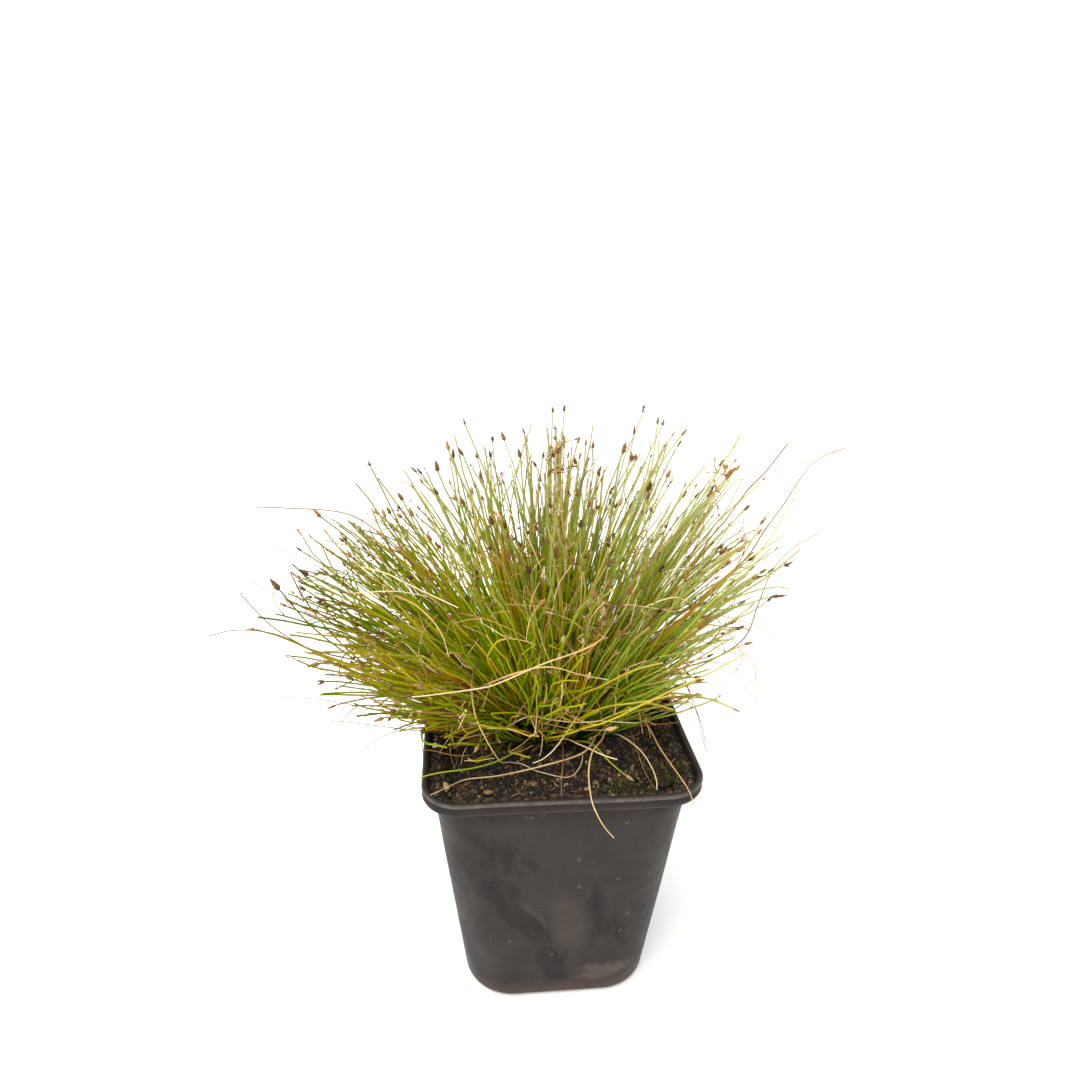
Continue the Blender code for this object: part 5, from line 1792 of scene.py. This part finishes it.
def lump(name, node, material, rough, grain, seed, swell=1.0, shift=(0, 0, 0)):
    """A rough lump in a CAD node's box, or a little past it by swell and shift."""
    low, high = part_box(node)
    half = (high - low) / 2 * swell
    centre = Vector(((low.x + high.x) / 2, (low.y + high.y) / 2, low.z + half.z)) + Vector(shift) * MM
    shape = bmesh.new()
    bmesh.ops.create_icosphere(shape, subdivisions=4, radius=1)
    offset = Vector((seed * 7.3, seed * 3.1, seed * 5.7))
    for corner in shape.verts:
        coarse = noise.noise(corner.co * 1.3 + offset)
        fine = noise.noise(corner.co * grain + offset)
        corner.co *= 1 - rough * (0.35 - 0.65 * coarse) + 0.25 * rough * fine
    for corner in shape.verts:
        corner.co = centre + Vector(a * b for a, b in zip(corner.co, half))
    return mesh_piece(name, shape, material, math.radians(80))


class GRASS_OT_litter(bpy.types.Operator):
    """Lay the stone, the perlite bead and the scraps of bark"""

    bl_idname = "potted_grass.litter"
    bl_label = "Stone, bead and bark"

    def execute(self, context):
        # Sandstone grit, water-worn: tan, with darker grains
        stone = toned_material("Sandstone grit, worn", (
            (0.0, "#E4BC88"), (0.08, "#F6D8AA"), (1.0, "#F8E4C0")), 0.8, 0.6 * MM, 0.12 * MM)
        # Perlite, expanded by heat: chalk white and full of tiny pits
        perlite = toned_material("Perlite, expanded", (
            (0.0, "#CFCFCB"), (0.06, "#F2F2EE"), (1.0, "#FFFFFF")), 0.9, 0.35 * MM, 0.15 * MM)
        # Leaf and bark scraps, half rotted: reddish brown
        bark = toned_material("Bark scrap, rotted", (
            (0.0, "#442C22"), (0.1, "#704A3A"), (1.0, "#A6684C")), 0.85, 0.9 * MM, 0.2 * MM)
        # Wood chip, weathered: dull yellow-tan, stained by the peat
        wood = toned_material("Wood chip, weathered", (
            (0.0, "#6A5236"), (0.1, "#9A7C54"), (1.0, "#B89870")), 0.85, 0.9 * MM, 0.2 * MM)
        for name, slot, node, *form in (
                ("worn_stone", "tan_stone", "tan_stone", stone, 0.28, 4, 1, 1.6, (-1.3, -0.8, 0)),
                ("pitted_bead", "perlite", "perlite_bead", perlite, 0.25, 6, 2),
                ("leaf_scrap", "bark", "bark_scrap", bark, 0.6, 3, 3),
                ("wood_chip", "bark", "bark_chip", wood, 0.6, 3, 4)):
            settle(lump(name, node, *form), slot, node)
        return {"FINISHED"}


def moss_leaf(pick):
    """A whorl of pointed moss leaves, one unit tall, closed slivers all round."""
    shape = bmesh.new()
    for index in range(6):
        add_bract(
            shape, pick.uniform(0.7, 1.0), 0.09, pick.uniform(0.25, 0.9),
            index * 1.05 + pick.uniform(-0.2, 0.2), 0.05 * index)
    return shape


class GRASS_OT_moss(bpy.types.Operator):
    """Grow the two cushions of moss at the front right"""

    bl_idname = "potted_grass.moss"
    bl_label = "Moss"

    def execute(self, context):
        pick = random.Random(83)
        # Moss, living: brown-olive underneath, bright where new leaves stand up
        moss = toned_material("Moss, living", (
            (0.0, "#241E12"), (0.4, "#3A341C"), (0.7, "#525026"), (0.9, "#68702C"),
            (1.0, "#8A9C34")), 0.9, 1.5 * MM, 0.2 * MM, 3 * MM)
        strew = scatter_tree()
        leaves = shape_set("moss leaves", [moss_leaf(pick) for _ in range(4)])
        for number, node in enumerate(("moss_cushion_right", "moss_cushion_left")):
            pad = lump(node + "_pad", node, moss, 0.2, 4, 5 + number)
            mesh = pad.data
            bpy.data.objects.remove(pad)
            mark_cover(mesh, lambda face: 1.0 if face.normal.z > -0.1 else 0.0)
            settle(run_tree(
                node.replace("cushion", "tuft"), mesh, strew, density=4.0e6, smallest=0.5 * MM,
                largest=1.5 * MM, tilt=0.7, shapes=leaves, keep_ground=True, seed=84 + number,
                material=moss), "moss", node)
        spread = peat_block(context.scene.peat_look.relief)
        mark_cover(spread, mossy_peat)
        settle(run_tree(
            "moss_film", spread, strew, density=3.0e6, smallest=0.4 * MM, largest=1.5 * MM,
            tilt=0.8, shapes=leaves, keep_ground=False, seed=88, material=moss), "moss")
        clear_set(leaves)
        return {"FINISHED"}


class GRASS_OT_stage(bpy.types.Operator):
    """Set up the camera, the pale floor and the soft light"""

    bl_idname = "potted_grass.stage"
    bl_label = "Stage"

    def execute(self, context):
        look = context.scene.stage_look
        scene = context.scene
        scene.view_settings.view_transform = "Standard"

        camera = bpy.data.objects.new("camera", bpy.data.cameras.new("camera"))
        scene.collection.objects.link(camera)
        camera.data.lens = CAMERA_LENS
        camera.data.sensor_width = 36
        camera.data.clip_start = 0.01
        turn = Matrix.Rotation(-CAMERA_YAW, 4, "Z")
        turn = turn @ Matrix.Rotation(math.pi / 2 - CAMERA_PITCH, 4, "X")
        turn = turn @ Matrix.Rotation(CAMERA_ROLL, 4, "Z")
        camera.matrix_world = Matrix.Translation(CAMERA_PLACE) @ turn
        scene.camera = camera

        # Matt white board, painted: spreads light evenly and shows only a soft shadow
        material, node, shader, place = start_material("White board, painted matt", 0.9)
        faint = node("ShaderNodeTexNoise", {"Vector": place, "Scale": 1 / 0.3, "Detail": 2})
        colour = node("ShaderNodeMix", [faint, (*look.floor_colour, 1), "#F1F0EE"], data_type="RGBA")
        feed(shader, {"Base Color": colour})
        shape = bmesh.new()
        bmesh.ops.create_grid(shape, x_segments=8, y_segments=8, size=4)
        floor = mesh_piece("floor", shape, material)

        world = scene.world or bpy.data.worlds.new("studio")
        scene.world = world
        world.use_nodes = True
        tree = world.node_tree
        heading = add(tree, "ShaderNodeTexCoord").outputs["Generated"]
        height = add(tree, "ShaderNodeSeparateXYZ", [heading]).outputs["Z"]
        strength = add(tree, "ShaderNodeMapRange", [height, 0.15, 1, look.sky, look.overhead])
        feed(tree.nodes["Background"], {"Color": "#FFFFFF", "Strength": strength})

        lamp = bpy.data.lights.new("key", "AREA")
        lamp.shape = "DISK"
        lamp.size = 0.9
        lamp.energy = look.key
        key = bpy.data.objects.new("key", lamp)
        scene.collection.objects.link(key)
        key.location = (-0.5, -0.5, 0.85)
        aim = Vector((0, 0, 0.1)) - key.location
        key.rotation_euler = aim.to_track_quat("-Z", "Y").to_euler()
        return {"FINISHED"}


class GRASS_PT_panel(bpy.types.Panel):
    """Buttons and sizes for each part of the potted grass"""

    bl_idname = "GRASS_PT_panel"
    bl_label = "Potted fiber optic grass"
    bl_space_type = "VIEW_3D"
    bl_region_type = "UI"
    bl_category = "Potted Grass"

    def draw(self, context):
        for operator in OPERATORS:
            self.layout.operator(operator.bl_idname)
        for name in LOOKS:
            look = getattr(context.scene, name)
            box = self.layout.box()
            for label in look.bl_rna.properties.keys():
                if label not in ("rna_type", "name"):
                    box.prop(look, label)


LOOKS = {
    "pot_look": PotLook,
    "peat_look": PeatLook,
    "grass_look": GrassLook,
    "stage_look": StageLook,
}
OPERATORS = (
    GRASS_OT_stage, GRASS_OT_pot, GRASS_OT_peat, GRASS_OT_crown,
    GRASS_OT_stems, GRASS_OT_strands, GRASS_OT_litter, GRASS_OT_moss,
)


def register():
    """Register the sizes, the operators and the panel."""
    for name, look in LOOKS.items():
        bpy.utils.register_class(look)
        setattr(bpy.types.Scene, name, bpy.props.PointerProperty(type=look))
    for operator in OPERATORS:
        bpy.utils.register_class(operator)
    bpy.utils.register_class(GRASS_PT_panel)


def unregister():
    """Undo register."""
    bpy.utils.unregister_class(GRASS_PT_panel)
    for operator in reversed(OPERATORS):
        bpy.utils.unregister_class(operator)
    for name, look in reversed(LOOKS.items()):
        delattr(bpy.types.Scene, name)
        bpy.utils.unregister_class(look)


def main():
    """Make every piece in turn."""
    register()
    for operator in OPERATORS:
        family, name = operator.bl_idname.split(".")
        getattr(getattr(bpy.ops, family), name)()


if __name__ == "__main__":
    main()
